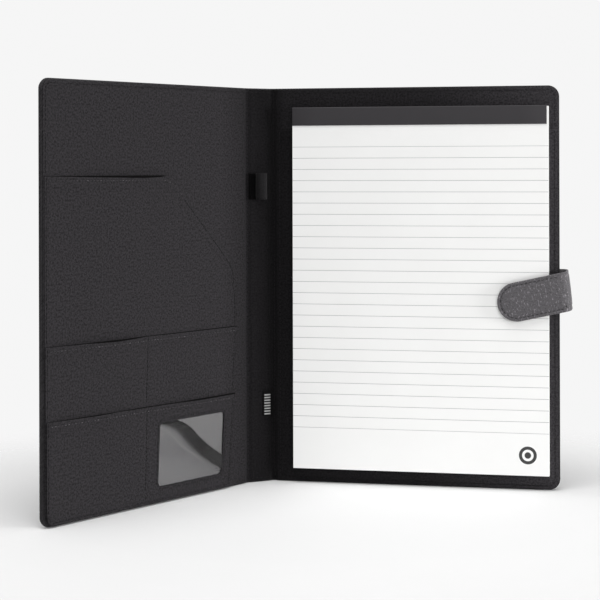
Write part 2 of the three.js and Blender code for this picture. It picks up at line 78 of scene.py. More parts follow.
back_axis, back_fold = gutter("back_gutter_hinge")
front_axis, front_fold = gutter("front_gutter_hinge")
PANELS = {
    "back_cover": (back_axis, STANDING_YAW),
    "spine": (back_axis, STANDING_YAW + back_fold),
    "front_cover": (front_axis, STANDING_YAW + back_fold + front_fold),
}
SPINE_WIDTH = float(np.linalg.norm(front_axis - back_axis)) / MM


def placed(panel, x, y, z):
    """A panel's millimetres as row-frame metres: turned by its yaw, then moved to its axis."""
    axis, yaw = PANELS[panel]
    x, y, z = np.broadcast_arrays(x, y, z)
    along = x * math.cos(yaw) - y * math.sin(yaw)
    deep = x * math.sin(yaw) + y * math.cos(yaw)
    return np.stack([axis[0] + along * MM, axis[1] + deep * MM, z * MM], -1)


def on_front(s, y, z):
    """Points on the front cover, where s runs from its gutter to its fore-edge."""
    return placed("front_cover", -np.asarray(s, float), y, z)


def measured(node, panel):
    """A CAD node's lowest and highest corners in a panel's own millimetres."""
    axis, yaw = PANELS[panel]
    mesh = frame["nodes"][node].data
    points = np.empty(3 * len(mesh.vertices))
    mesh.vertices.foreach_get("co", points)
    points = points.reshape(-1, 3) / MM
    offset = points[:, :2] - axis / MM
    along = offset[:, 0] * math.cos(yaw) + offset[:, 1] * math.sin(yaw)
    deep = offset[:, 1] * math.cos(yaw) - offset[:, 0] * math.sin(yaw)
    local = np.stack([along, deep, points[:, 2]], -1)
    return local.min(0), local.max(0)


skin_low, skin_high = measured("back_outer_skin", "back_cover")
lining_low, lining_high = measured("back_lining", "back_cover")
COVER_WIDTH = skin_high[0]
COVER_HEIGHT = skin_high[2]
SETBACK = skin_low[0]
OUTER_FACE = skin_high[1]
HEM_FACE = skin_low[1]
INNER_FACE = lining_low[1]
CORNER_RADIUS = 9.0
EDGE_RADIUS = 1.0
GUTTER_THICKNESS = 1.5
print(f"cover {COVER_WIDTH:.1f} x {COVER_HEIGHT:.1f} mm, spine {SPINE_WIDTH:.1f} mm")

# %% [markdown]
# The cloth runs through both gutters without a break, so it needs one rule for the whole width of
# the folder. Flat coordinate f is 0 at the back gutter, positive over the back cover and negative
# over the spine and the front cover. Inside a gutter the middle line is a quadratic curve between
# the two panels, and depth is measured square to it. A gutter has no board, so it is thinner there.


# %% The folder's bent section
def bent(f, y, fold):
    """Section through a gutter at f = 0: a line, a quadratic curve over the setback, a folded line."""
    share = np.clip((SETBACK - f) / (2 * SETBACK), 0, 1)
    far_x = -math.cos(fold)
    far_y = -math.sin(fold)
    before = np.maximum(f - SETBACK, 0)
    beyond = np.maximum(-f - SETBACK, 0)
    x = SETBACK * ((1 - share) ** 2 + share**2 * far_x) + before + far_x * beyond
    depth = SETBACK * share**2 * far_y + far_y * beyond
    ahead_x = share * far_x - (1 - share)
    ahead_y = share * far_y
    length = np.hypot(ahead_x, ahead_y)
    return x + ahead_y / length * y, depth - ahead_x / length * y


def folded(f, y, z):
    """Row-frame points of the flat coordinates f, y, z, bent at both gutters."""
    f, y, z = np.broadcast_arrays(f, y, z)
    back_x, back_y = bent(f, y, back_fold)
    front_x, front_y = bent(f + SPINE_WIDTH, y, front_fold)
    behind = placed("back_cover", back_x, back_y, z)
    before = placed("spine", front_x - SPINE_WIDTH, front_y, z)
    return np.where((f > -SPINE_WIDTH / 2)[..., None], behind, before)


def pinch(f):
    """Share of the full thickness left at f: 1 on a board, least along the fold of a gutter."""
    away = np.minimum(np.abs(f), np.abs(f + SPINE_WIDTH)) / SETBACK
    least = GUTTER_THICKNESS / (OUTER_FACE - INNER_FACE)
    return least + (1 - least) * np.minimum(away, 1) ** 2


# %% [markdown]
# Meshes are grids. A grid of points becomes quads by one rule on its row and column numbers, so no
# loop walks over vertices. Three kinds of body are enough here: a loft through closed loops, a thin
# sheet between two grids, and a ribbon that follows a path. Each gets a UV map in metres, which the
# weave follows, so the threads bend and hang with the cloth.


# %% Faces from grids
def grid_faces(rows, columns, joined=False, first=0):
    """Quads of a grid of rows x columns points; joined ties the last column to the first."""
    row = np.arange(rows - 1)[:, None]
    column = np.arange(columns if joined else columns - 1)[None, :]
    after = (column + 1) % columns
    here = row * columns + column
    there = row * columns + after
    return first + np.stack([here, there, there + columns, here + columns], -1).reshape(-1, 4)


def cap_faces(columns, first):
    """Quads across one loop whose second half runs back beside its first half."""
    i = np.arange(columns // 2 - 1)
    return first + np.stack([i, i + 1, columns - 2 - i, columns - 1 - i], -1)


def loft_faces(rows, columns, first=0):
    """Faces of a closed body through rows of loops: its sides and a cap at each end."""
    last = (rows - 1) * columns
    return np.concatenate(
        [
            grid_faces(rows, columns, True, first),
            cap_faces(columns, first),
            cap_faces(columns, first + last),
        ]
    )


def sheet_faces(rows, columns):
    """Faces of a thin body made of two equal grids: the front, the back and a rim."""
    count = rows * columns
    index = np.arange(count).reshape(rows, columns)
    rim = np.concatenate([index[0], index[1:, -1], index[-1, -2::-1], index[-2:0:-1, 0]])
    after = np.roll(rim, -1)
    edge = np.stack([rim, after, after + count, rim + count], -1)
    return np.concatenate([grid_faces(rows, columns), grid_faces(rows, columns, first=count), edge])


def turn_out(mesh):
    """Makes every face of a closed mesh point outwards."""
    work = bmesh.new()
    work.from_mesh(mesh)
    bmesh.ops.recalc_face_normals(work, faces=work.faces)
    work.to_mesh(mesh)
    work.free()


def new_object(name, data):
    """An object with this data, linked to the scene."""
    made = bpy.data.objects.new(name, data)
    bpy.context.scene.collection.objects.link(made)
    return made


def make_piece(name, points, faces, uv, material, slot, sharp=35):
    """A smooth mesh object at the origin with one UV pair in metres for each of its points."""
    mesh = bpy.data.meshes.new(name)
    mesh.from_pydata(points.reshape(-1, 3).tolist(), [], faces.tolist())
    layer = mesh.uv_layers.new(name="cloth")
    corner = np.empty(len(mesh.loops), np.int32)
    mesh.loops.foreach_get("vertex_index", corner)
    layer.data.foreach_set("uv", (uv.reshape(-1, 2)[corner]).astype(np.float32).ravel())
    turn_out(mesh)
    mesh.shade_smooth()
    mesh.set_sharp_from_angle(angle=math.radians(sharp))
    mesh.materials.append(material)
    piece = new_object(name, mesh)
    print(f"{name}: {len(mesh.polygons)} faces")
    return piece


def make_sheet(name, front, rear, x, z, material, slot):
    """A thin body between two grids of points, with its flat x and z in millimetres as UV map."""
    uv = np.stack([x, z], -1) * MM
    faces = sheet_faces(*x.shape)
    return make_piece(name, np.stack([front, rear]), faces, np.stack([uv, uv]), material, slot)


# %% Section of a flat body with rounded edges
def oblong_pattern(face_steps, round_steps):
    """Loop round a flat section: depth -1 to 1, height offset -1 to 1, share 0 to 1 of the height.

    The first half goes up the reader's side and the second half comes down the other side, so a
    point and its mirror have the numbers i and -1 - i, which is what the caps need.
    """
    quarter = np.linspace(0, np.pi / 2, round_steps)
    depth = np.concatenate([-np.sin(quarter), -np.ones(face_steps), -np.cos(quarter)])
    height = np.concatenate([-np.cos(quarter), np.zeros(face_steps), np.sin(quarter)])
    inner_share = np.linspace(0, 1, face_steps + 2)[1:-1]
    share = np.concatenate([np.zeros(round_steps), inner_share, np.ones(round_steps)])
    return (
        np.concatenate([depth, -depth[::-1]]),
        np.concatenate([height, height[::-1]]),
        np.concatenate([share, share[::-1]]),
    )


def oblong_loops(pattern, low, high, near, far, radius):
    """Depth and height of loops whose section runs from near to far and from low to high."""
    depth, height, share = pattern
    near, far, low, high = (np.asarray(v, float)[:, None] for v in (near, far, low, high))
    side = np.where(depth < 0, near + radius, far - radius)
    y = side + radius * depth
    z = (low + radius) * (1 - share) + (high - radius) * share + radius * height
    return y, z


def rounded_drop(distance, radius):
    """How far a quarter round of this radius lies below its top at a distance from the edge."""
    inside = np.clip(radius - distance, 0, radius)
    return radius - np.sqrt(radius**2 - inside**2)


def rounded_path(corners, radius, steps):
    """A line through corners given as (p, q), each inner corner cut by a quadratic curve."""
    corners = [np.array(c, float) for c in corners]
    share = np.linspace(0, 1, steps)[:, None]
    parts = [corners[0][None]]
    for before, here, after in zip(corners, corners[1:], corners[2:]):
        start = here + (before - here) / np.linalg.norm(before - here) * radius
        end = here + (after - here) / np.linalg.norm(after - here) * radius
        parts.append((1 - share) ** 2 * start + 2 * share * (1 - share) * here + share**2 * end)
    parts.append(corners[-1][None])
    return np.concatenate(parts)


# %% [markdown]
# Shading comes from small node trees. Small helpers keep them short: one adds a node, one feeds a
# socket with a link or a plain value, one writes plain values on several sockets, and one is a Math
# node, so a sum is written as calls inside calls. Effects that several finishes share are node
# groups. They put out only colours, heights, roughness and masks, and the Principled shader stays
# in the material, where its sheen, coat and IOR are plain numbers.


# %% Node helpers
def add_node(tree, kind, **settings):
    """Adds one node and sets its options."""
    made = tree.nodes.new(kind)
    for name, value in settings.items():
        setattr(made, name, value)
    return made


def feed(tree, socket, value):
    """Links an output to this input, or writes the value on it."""
    if isinstance(value, bpy.types.NodeSocket):
        tree.links.new(value, socket)
    else:
        socket.default_value = value


def set_sockets(node, **values):
    """Writes plain values on a node's own sockets, whose names have spaces for underscores."""
    for name, value in values.items():
        node.inputs[name.replace("_", " ")].default_value = value


def calc(tree, operation, *values):
    """One Math node on numbers or sockets."""
    made = add_node(tree, "ShaderNodeMath", operation=operation)
    for socket, value in zip(made.inputs, values):
        feed(tree, socket, value)
    return made.outputs[0]


def ramp(tree, value, low, high, bottom=0.0, top=1.0):
    """Smooth step of a value from low to high, put out between bottom and top."""
    made = add_node(tree, "ShaderNodeMapRange", interpolation_type="SMOOTHSTEP")
    for socket, number in zip(made.inputs, (value, low, high, bottom, top)):
        feed(tree, socket, number)
    return made.outputs[0]


def blended(tree, share, first, second):
    """Two colours mixed by a share from 0 to 1."""
    made = add_node(tree, "ShaderNodeMix", data_type="RGBA")
    feed(tree, made.inputs[0], share)
    feed(tree, made.inputs[6], first)
    feed(tree, made.inputs[7], second)
    return made.outputs[2]


def noise(tree, vector, scale, detail=3.0, roughness=0.6):
    """Grey noise from 0 to 1; scale counts its features in one metre."""
    made = add_node(tree, "ShaderNodeTexNoise")
    feed(tree, made.inputs["Vector"], vector)
    set_sockets(made, Scale=scale, Detail=detail, Roughness=roughness)
    return made.outputs[0]


def stretched(tree, vector, x, y, z=1.0):
    """The same coordinates with each axis multiplied by its own number."""
    made = add_node(tree, "ShaderNodeVectorMath", operation="MULTIPLY")
    feed(tree, made.inputs[0], vector)
    made.inputs[1].default_value = (x, y, z)
    return made.outputs[0]


def split(tree, vector):
    """The x, y and z outputs of a vector."""
    made = add_node(tree, "ShaderNodeSeparateXYZ")
    feed(tree, made.inputs[0], vector)
    return made.outputs


def new_group(name, inputs, outputs):
    """A shader group with named sockets, given as (name, kind, value) and (name, kind)."""
    group = bpy.data.node_groups.new(name, "ShaderNodeTree")
    for label, kind, value in inputs:
        socket = group.interface.new_socket(name=label, in_out="INPUT", socket_type="NodeSocket" + kind)
        socket.default_value = value
    for label, kind in outputs:
        group.interface.new_socket(name=label, in_out="OUTPUT", socket_type="NodeSocket" + kind)
    start = group.nodes.new("NodeGroupInput")
    end = group.nodes.new("NodeGroupOutput")
    return group, start.outputs, end.inputs


def grey(value, alpha=1.0):
    """A neutral colour."""
    return (value, value, value, alpha)


def dyed(value):
    """A near-black dye of this green value, with a little more red and blue."""
    return (value * 1.07, value, value * 1.09, 1.0)


# %% Group: plain weave
CROSSING = (0.45, 0.55)


def plain_weave_group():
    """Two sets of round threads that pass over each other in turn, like a chessboard.

    With x and y counted in threads, a thread's height is one less the square of its distance from
    its middle, times a share that falls off towards the edges of the thread it crosses. The whole
    parts of x and y are added: where the sum is odd the warp lies on top, where it is even the weft.
    """
    group, given, result = new_group(
        "Plain weave",
        [
            ("Cloth", "Vector", (0, 0, 0)),
            ("Threads", "Float", 2200.0),
            ("Thread Colour", "Color", grey(0.03)),
            ("Hollow Colour", "Color", grey(0.01)),
            ("Mottle", "Float", 0.3),
            ("Grain", "Float", 3.6),
        ],
        [("Colour", "Color"), ("Height", "Float"), ("Roughness", "Float")],
    )
    scaled = add_node(group, "ShaderNodeVectorMath", operation="SCALE")
    feed(group, scaled.inputs[0], given["Cloth"])
    feed(group, scaled.inputs["Scale"], given["Threads"])
    x, y, _ = split(group, scaled.outputs[0])

    def crown(value):
        across = calc(group, "SUBTRACT", calc(group, "FRACT", value), 0.5)
        fall = calc(group, "MULTIPLY", calc(group, "POWER", across, 2.0), 4.0)
        return calc(group, "SUBTRACT", 1.0, fall)

    warp = crown(x)
    weft = crown(y)
    whole = calc(group, "ADD", calc(group, "FLOOR", x), calc(group, "FLOOR", y))
    turn = calc(group, "PINGPONG", whole, 1.0)
    over_warp = calc(group, "MULTIPLY", warp, calc(group, "MULTIPLY_ADD", weft, *CROSSING))
    over_weft = calc(group, "MULTIPLY", weft, calc(group, "MULTIPLY_ADD", warp, *CROSSING))
    difference = calc(group, "SUBTRACT", over_warp, over_weft)
    height = calc(group, "MULTIPLY_ADD", difference, turn, over_weft)
    slub = noise(group, stretched(group, given["Cloth"], 1.0, 7.0), 260.0, 3.0)
    cloud = noise(group, given["Cloth"], 35.0, 4.0)
    both = calc(group, "ADD", slub, cloud)
    change = calc(group, "MULTIPLY", calc(group, "SUBTRACT", both, 1.0), given["Mottle"])
    grain = calc(group, "SUBTRACT", noise(group, given["Cloth"], 640.0, 2.0), 0.5)
    shade = calc(group, "MULTIPLY_ADD", grain, given["Grain"], calc(group, "ADD", height, change))
    # Threads take the thread colour, and the hollows between them get painted shade, mixed in by height,
    # with mottle and grain on top.
    feed(group, result["Colour"], blended(group, shade, given["Hollow Colour"], given["Thread Colour"]))
    feed(group, result["Height"], height)
    feed(group, result["Roughness"], ramp(group, cloud, 0.3, 0.7, 0.78, 0.94))
    return group


# %% Group: lint and dust
def lint_group():
    """Sparse short fibres and specks that dark cloth picks up: 0 on clean cloth, 1 on a speck."""
    group, given, result = new_group(
        "Lint",
        [("Cloth", "Vector", (0, 0, 0)), ("Amount", "Float", 0.5)],
        [("Mask", "Float")],
    )
    speck = add_node(group, "ShaderNodeTexVoronoi", feature="F1")
    feed(group, speck.inputs["Vector"], stretched(group, given["Cloth"], 1.0, 1.7))
    set_sockets(speck, Scale=75.0)
    dot = ramp(group, speck.outputs["Distance"], 0.035, 0.015)
    patch = ramp(group, noise(group, given["Cloth"], 14.0, 2.0), 0.5, 0.68)
    mask = calc(group, "MULTIPLY", calc(group, "MULTIPLY", dot, patch), given["Amount"])
    feed(group, result["Mask"], mask)
    return group


# %% Group: melange fibres
def melange_group():
    """Cloth spun from dark and light fibres: short streaks across the weave, mixed by chance."""
    group, given, result = new_group(
        "Melange",
        [
            ("Cloth", "Vector", (0, 0, 0)),
            ("Dark Colour", "Color", grey(0.04)),
            ("Middle Colour", "Color", grey(0.12)),
            ("Light Colour", "Color", grey(0.3)),
        ],
        [("Colour", "Color"), ("Height", "Float")],
    )
    dark = noise(group, stretched(group, given["Cloth"], 0.55, 1.5), 860.0, 4.0, 0.7)
    light = noise(group, stretched(group, given["Cloth"], 1.6, 0.5), 660.0, 4.0, 0.7)
    first = blended(group, ramp(group, dark, 0.5, 0.66), given["Middle Colour"], given["Dark Colour"])
    second = blended(group, ramp(group, light, 0.54, 0.7), first, given["Light Colour"])
    feed(group, result["Colour"], second)
    feed(group, result["Height"], calc(group, "ADD", dark, light))
    return group


WEAVE = plain_weave_group()
LINT = lint_group()
MELANGE = melange_group()
print("node groups:", [group.name for group in bpy.data.node_groups])

# %% [markdown]
# A finish starts with an empty material that holds a Principled shader. Cloth reads the UV map in
# metres. Carried-over CAD nodes have no UV map, so board and steel read Object coordinates. Matt
# polyester has little specular light and a faint sheen, because its fibre ends catch grazing light.


# %% Finishes: cloth
def new_material(name):
    """A material with a Principled shader, given back with its tree and that shader."""
    material = bpy.data.materials.new(name)
    material.use_nodes = True
    tree = material.node_tree
    return material, tree, tree.nodes["Principled BSDF"]


def cloth_coordinates(tree):
    """The piece's own UV map, in metres."""
    return add_node(tree, "ShaderNodeUVMap", uv_map="cloth").outputs[0]


def use_group(tree, group, **inputs):
    """Places a group and feeds its inputs, whose names have spaces for underscores."""
    made = add_node(tree, "ShaderNodeGroup", node_tree=group)
    for name, value in inputs.items():
        feed(tree, made.inputs[name.replace("_", " ")], value)
    return made.outputs


def add_bump(tree, shader, height, distance, strength=1.0):
    """Bump of this depth in metres on the shader."""
    bump = add_node(tree, "ShaderNodeBump")
    set_sockets(bump, Strength=strength, Distance=distance)
    feed(tree, bump.inputs["Height"], height)
    tree.links.new(bump.outputs[0], shader.inputs["Normal"])


# Painted shade in a weave's hollows: the share of the dye that is left there.
HOLLOW_SHADE_SHARE = 0.36
SHEEN_SHARE = 0.4
SHEEN_ROUGHNESS = 0.45
LINT_COLOUR = grey(0.2)


def weave_of(tree, cloth, tone, **inputs):
    """The weave group in a dye of this tone, with painted shade in the hollows between its threads."""
    colours = {"Thread_Colour": dyed(tone), "Hollow_Colour": dyed(tone * HOLLOW_SHADE_SHARE)}
    return use_group(tree, WEAVE, Cloth=cloth, **(colours | inputs))


def finish_weave(tree, shader, cloth, weave, colour, lint=0.5, gloss=0.1, depth=0.00012):
    """Lint over the colour, roughness, bump, and little gloss and sheen."""
    speck = use_group(tree, LINT, Cloth=cloth, Amount=lint)["Mask"]
    feed(tree, shader.inputs["Base Color"], blended(tree, speck, colour, LINT_COLOUR))
    feed(tree, shader.inputs["Roughness"], weave["Roughness"])
    add_bump(tree, shader, weave["Height"], depth)
    sheen = gloss * SHEEN_SHARE
    set_sockets(shader, Specular_IOR_Level=gloss, Sheen_Weight=sheen, Sheen_Roughness=SHEEN_ROUGHNESS)


def woven_finish(name, tone, lint=0.5, gloss=0.1, depth=0.00012, **inputs):
    """Woven cloth: plain weave, mottled colour, and lint on top."""
    material, tree, shader = new_material(name)
    cloth = cloth_coordinates(tree)
    weave = weave_of(tree, cloth, tone, **inputs)
    finish_weave(tree, shader, cloth, weave, weave["Colour"], lint, gloss, depth)
    return material


SKIN_CLOTH = woven_finish("skin_cloth", 0.026, gloss=0.15, Threads=1700.0)
ELASTIC = woven_finish("elastic", 0.011, lint=0.2, Threads=2200.0)
FLAP_LINING = woven_finish("strap_lining", 0.025)

# %% [markdown]
# The linings of the spine and the back cover are blacker than that of the front cover. Over the dye,
# shade is painted in and beside every gutter, which faces away from the light, and over the spine's
# half by the back gutter; the slot panel has the pad's shadow painted beside the gutter, and the back
# cover and slot panel have light painted towards the fore-edge, where the lamp grazes them. The
# linings run over the gutters, so their tones are stops along the UV map, with a sharp step at the
# front gutter's seam. Each mouth has a painted shadow whose depth also goes from stop to stop.

# %% Finishes: linings and pockets
# Stops of the linings: the dye, darker in and beside both gutters and on the spine's half by the back
# gutter as painted shade, and lighter towards the back cover's fore-edge as painted light.
LINING_DYE_AND_PAINTED_LIGHT = [
    (-59.0, 0.0320),
    (-24.6, 0.0215),
    (-24.0, 0.0130),
    (-14.0, 0.0096),
    (-11.0, 0.0090),
    (-8.0, 0.0094),
    (4.0, 0.0094),
    (12.0, 0.0168),
    (130.0, 0.0205),
    (229.0, 0.0460),
]
# Slot panel: the dye, darker beside the gutter as the pad's painted shadow, and lighter towards the
# fore-edge as painted light.
SLOT_DYE_AND_PAINTED_LIGHT = [(10.0, 0.0112), (130.0, 0.0185), (229.0, 0.0460)]
# Pockets: the dye, darker towards the gutter as painted shade.
POCKET_DYE_AND_GUTTER_SHADE = [(2.0, 0.0215), (34.0, 0.0320)]
INSIDE_GLOSS = 0.04
# Painted shadow in the open slit of each mouth: its tone, the softness of its edge, and, at places along
# the mouth, how many mm below it the shade reaches.
MOUTH_SHADOW_TONE = 0.0008
MOUTH_SHADOW_EDGE = 0.15
MOUTH_SHADOWS = {
    "document_pocket": [(98, 0.0), (105, 0.5), (113, 1.5), (132, 2.0), (160, 1.5), (195, 0.9), (228, 0.3)],
    "middle_pocket": [(2, 0.4), (25, 0.5), (128, 0.4), (145, 1.0), (165, 1.4), (195, 0.5), (228, 0.2)],
    "card_pocket": [(2, 0.9), (60, 1.2), (92, 0.4), (138, 0.5), (160, 0.1), (180, 0.6), (228, 0.2)],
}


def staged(tree, along, stops, colour=grey):
    """Colour that runs straight from stop to stop; each stop is a place in mm and a value."""
    first = stops[0][0]
    span = stops[-1][0] - first
    made = add_node(tree, "ShaderNodeValToRGB")
    feed(tree, made.inputs[0], calc(tree, "MULTIPLY_ADD", along, 1 / (span * MM), -first / span))
    elements = made.color_ramp.elements
    elements[0].color = colour(stops[0][1])
    elements[1].color = colour(stops[-1][1])
    for place, value in stops[1:-1]:
        elements.new((place - first) / span).color = colour(value)
    return made.outputs[0]


def hollow_shade_colour(tone):
    """Painted shade in the hollows of a weave of this tone: its dye, darkened."""
    return dyed(tone * HOLLOW_SHADE_SHARE)


def toned_weave(tree, cloth, along, tones):
    """The weave in a colour that goes from stop to stop: the dye, with painted light and shade."""
    thread = staged(tree, along, tones, dyed)
    hollow = staged(tree, along, tones, hollow_shade_colour)
    return use_group(tree, WEAVE, Cloth=cloth, Thread_Colour=thread, Hollow_Colour=hollow)


def toned_finish(name, tones):
    """Cloth inside the folder whose tone goes from stop to stop across it, painted light and shade
    included.
    """
    material, tree, shader = new_material(name)
    cloth = cloth_coordinates(tree)
    weave = toned_weave(tree, cloth, split(tree, cloth)[0], tones)
    finish_weave(tree, shader, cloth, weave, weave["Colour"], gloss=INSIDE_GLOSS)
    return material


def pocket_finish(name, mouth, painted_shadows):
    """Pocket cloth with a painted shadow along its mouth, the shade in the slit where it stands open.

    The shadow's depths go through the colour ramp halved, so that none of them passes 1.
    """
    material, tree, shader = new_material(name)
    cloth = cloth_coordinates(tree)
    along, height, _ = split(tree, cloth)
    weave = toned_weave(tree, cloth, along, POCKET_DYE_AND_GUTTER_SHADE)
    halves = [(place, most / 2) for place, most in painted_shadows]
    # Painted shadow of the slit: dark from the mouth down to the depth that the stops give.
    depth = calc(tree, "MULTIPLY", staged(tree, along, halves), 2.0)
    below = calc(tree, "DIVIDE", calc(tree, "SUBTRACT", mouth * MM, height), MM)
    fold = ramp(tree, calc(tree, "SUBTRACT", below, depth), MOUTH_SHADOW_EDGE, -MOUTH_SHADOW_EDGE)
    colour = blended(tree, fold, weave["Colour"], dyed(MOUTH_SHADOW_TONE))
    finish_weave(tree, shader, cloth, weave, colour, gloss=INSIDE_GLOSS)
    return material


LINING_CLOTH = toned_finish("lining_cloth", LINING_DYE_AND_PAINTED_LIGHT)
SLOT_CLOTH = toned_finish("slot_cloth", SLOT_DYE_AND_PAINTED_LIGHT)
# The loop's sewn end is darker than the elastic: painted shadow that the ring throws on it.
LOOP_END_SHADOW_CLOTH = woven_finish("loop_end_cloth", 0.004, gloss=0.02)


# %% Finishes: strap and thread
THREAD_TWIST = 9000.0
ONCE_ROUND = 6283.0


def strap_finish():
    """Melange cloth for the strap, coated, so it shines a little more than the lining."""
    material, tree, shader = new_material("strap_cloth")
    cloth = cloth_coordinates(tree)
    fibres = use_group(
        tree,
        MELANGE,
        Cloth=cloth,
        Dark_Colour=dyed(0.014),
        Middle_Colour=dyed(0.068),
        Light_Colour=dyed(0.28),
    )
    weave = use_group(tree, WEAVE, Cloth=cloth, Threads=1500.0)
    feed(tree, shader.inputs["Base Color"], fibres["Colour"])
    both = calc(tree, "MULTIPLY_ADD", weave["Height"], 0.7, fibres["Height"])
    add_bump(tree, shader, both, 0.00018)
    set_sockets(shader, Roughness=0.62, Specular_IOR_Level=0.4, Sheen_Weight=0.1)
    return material


def thread_finish(name, dull, bright, share=0.56, gloss=0.1):
    """Twisted sewing thread: slanted stripes with painted shade in their grooves, and painted glints as
    bright stretches where noise is high.
    """
    material, tree, shader = new_material(name)
    along, around, _ = split(tree, cloth_coordinates(tree))
    turn = calc(tree, "MULTIPLY", around, ONCE_ROUND)
    twist = calc(tree, "MULTIPLY_ADD", along, THREAD_TWIST, turn)
    wave = calc(tree, "MULTIPLY_ADD", calc(tree, "SINE", twist), 0.5, 0.5)
    place = add_node(tree, "ShaderNodeTexCoord").outputs["Object"]
    # Painted glints: bright stretches of thread where the noise is high.
    stretch = ramp(tree, noise(tree, place, 220.0, 2.0), share, share + 0.06)
    colour = blended(tree, stretch, dyed(dull), dyed(bright))
    # Painted shade: the grooves of the twist are darker.
    feed(tree, shader.inputs["Base Color"], blended(tree, wave, dyed(dull * 0.45), colour))
    set_sockets(shader, Roughness=0.6, Specular_IOR_Level=gloss)
    add_bump(tree, shader, wave, 0.0001)
    return material


STRAP_CLOTH = strap_finish()
THREAD = thread_finish("sewing_thread", 0.004, 0.05)
HEM_THREAD = thread_finish("hem_thread", 0.03, 0.22, 0.53, 0.3)
BACK_THREAD = thread_finish("back_thread", 0.010, 0.018)
STRAP_THREAD = thread_finish("strap_thread", 0.012, 0.03)

# %% [markdown]
# The page is white paper with pale grey rules. The rules are worked out from the page's own UV map,
# u from its left edge and v down from its head, so they stay on the page wherever the pad goes. A
# plain ring with a dot stands at the foot of the page. Paper isn't flat white: it has a faint cloud
# of fibres. The sides of the pad are modelled as thin stacks of leaves, not painted.

# %% Finishes: paper
RULE_COUNT = 26
FIRST_RULE = 32.0
RULE_PITCH = 9.24
RULE_WIDTH = 0.42
MARK_FROM_LEFT = 193.0
MARK_FROM_FOOT = 16.4
MARK_RADIUS = 7.2
MARK_RING = 1.3
MARK_DOT = 2.7
RULE_COLOUR = (0.30, 0.30, 0.31, 1)
MARK_COLOUR = grey(0.045)
PAPER_SHADE = (0.80, 0.80, 0.79, 1)
PAPER_WHITE = (0.88, 0.88, 0.875, 1)
pad_low, pad_high = measured("pad_leaves", "back_cover")
PAD_WIDTH = pad_high[0] - pad_low[0]
PAD_HEIGHT = pad_high[2] - pad_low[2]


def paper_finish(name):
    """Uncoated white paper with a faint cloud of fibres in its colour and surface."""
    material, tree, shader = new_material(name)
    cloth = cloth_coordinates(tree)
    fibre = noise(tree, cloth, 1500.0, 4.0)
    cloud = noise(tree, cloth, 18.0, 3.0)
    tone = calc(tree, "MULTIPLY_ADD", fibre, 0.4, calc(tree, "MULTIPLY", cloud, 0.6))
    colour = blended(tree, tone, PAPER_SHADE, PAPER_WHITE)
    feed(tree, shader.inputs["Base Color"], colour)
    feed(tree, shader.inputs["Roughness"], ramp(tree, fibre, 0.3, 0.7, 0.62, 0.78))
    add_bump(tree, shader, fibre, 0.00003, 0.5)
    set_sockets(shader, Specular_IOR_Level=0.3)
    return material, tree, shader, colour


def band(tree, value, middle, half):
    """1 within half of the middle, falling to 0 over an edge a twentieth as wide."""
    away = calc(tree, "ABSOLUTE", calc(tree, "SUBTRACT", value, middle))
    return ramp(tree, away, half, half * 0.95)


def ruled_finish():
    """The ruled page: rules at a steady pitch from edge to edge, and a generic mark."""
    material, tree, shader, paper = paper_finish("ruled_page")
    u, v, _ = split(tree, cloth_coordinates(tree))
    count = calc(tree, "DIVIDE", calc(tree, "SUBTRACT", v, FIRST_RULE * MM), RULE_PITCH * MM)
    from_rule = calc(tree, "ABSOLUTE", calc(tree, "SUBTRACT", count, calc(tree, "ROUND", count)))
    half = RULE_WIDTH / 2 / RULE_PITCH
    rule = ramp(tree, from_rule, half, half * 0.6)
    down = band(tree, count, (RULE_COUNT - 1) / 2, RULE_COUNT / 2)
    rules = calc(tree, "MULTIPLY", rule, down)
    dx = calc(tree, "SUBTRACT", u, MARK_FROM_LEFT * MM)
    dv = calc(tree, "SUBTRACT", v, (PAD_HEIGHT - MARK_FROM_FOOT) * MM)
    square = calc(tree, "MULTIPLY_ADD", dx, dx, calc(tree, "MULTIPLY", dv, dv))
    away = calc(tree, "SQRT", square)
    ring = band(tree, away, (MARK_RADIUS - MARK_RING) * MM, MARK_RING * MM)
    dot = ramp(tree, away, MARK_DOT * MM, (MARK_DOT - 0.2) * MM)
    mark = calc(tree, "MAXIMUM", ring, dot)
    ruled = blended(tree, rules, paper, RULE_COLOUR)
    feed(tree, shader.inputs["Base Color"], blended(tree, mark, ruled, MARK_COLOUR))
    return material


PAPER = paper_finish("paper")[0]
RULED_PAGE = ruled_finish()
print("page:", round(PAD_WIDTH), "x", round(PAD_HEIGHT), "mm,", RULE_COUNT, "rules")


# %% Finishes: tape and film
CREASE_HEIGHT = 49.5
CREASE_MIDDLE = 63.0
CREASE_SLANT = 1.25
CREASE_UPPER = 0.0035
CREASE_LOWER = -0.018
CREASE_FLAT = 12.0
CREASE_REACH = 19.0
CREASE_SLOPE = 0.27
HAZE_SHARE = 0.6


def tape_finish():
    """Smooth dark binding tape with a faint pressed grain."""
    material, tree, shader = new_material("binding_tape")
    cloth = cloth_coordinates(tree)
    grain = noise(tree, cloth, 2600.0, 3.0)
    cloud = noise(tree, cloth, 40.0, 3.0)
    colour = blended(tree, cloud, dyed(0.024), dyed(0.033))
    feed(tree, shader.inputs["Base Color"], colour)
    feed(tree, shader.inputs["Roughness"], ramp(tree, cloud, 0.3, 0.7, 0.5, 0.62))
    set_sockets(shader, Specular_IOR_Level=0.2)
    add_bump(tree, shader, grain, 0.00004)
    return material


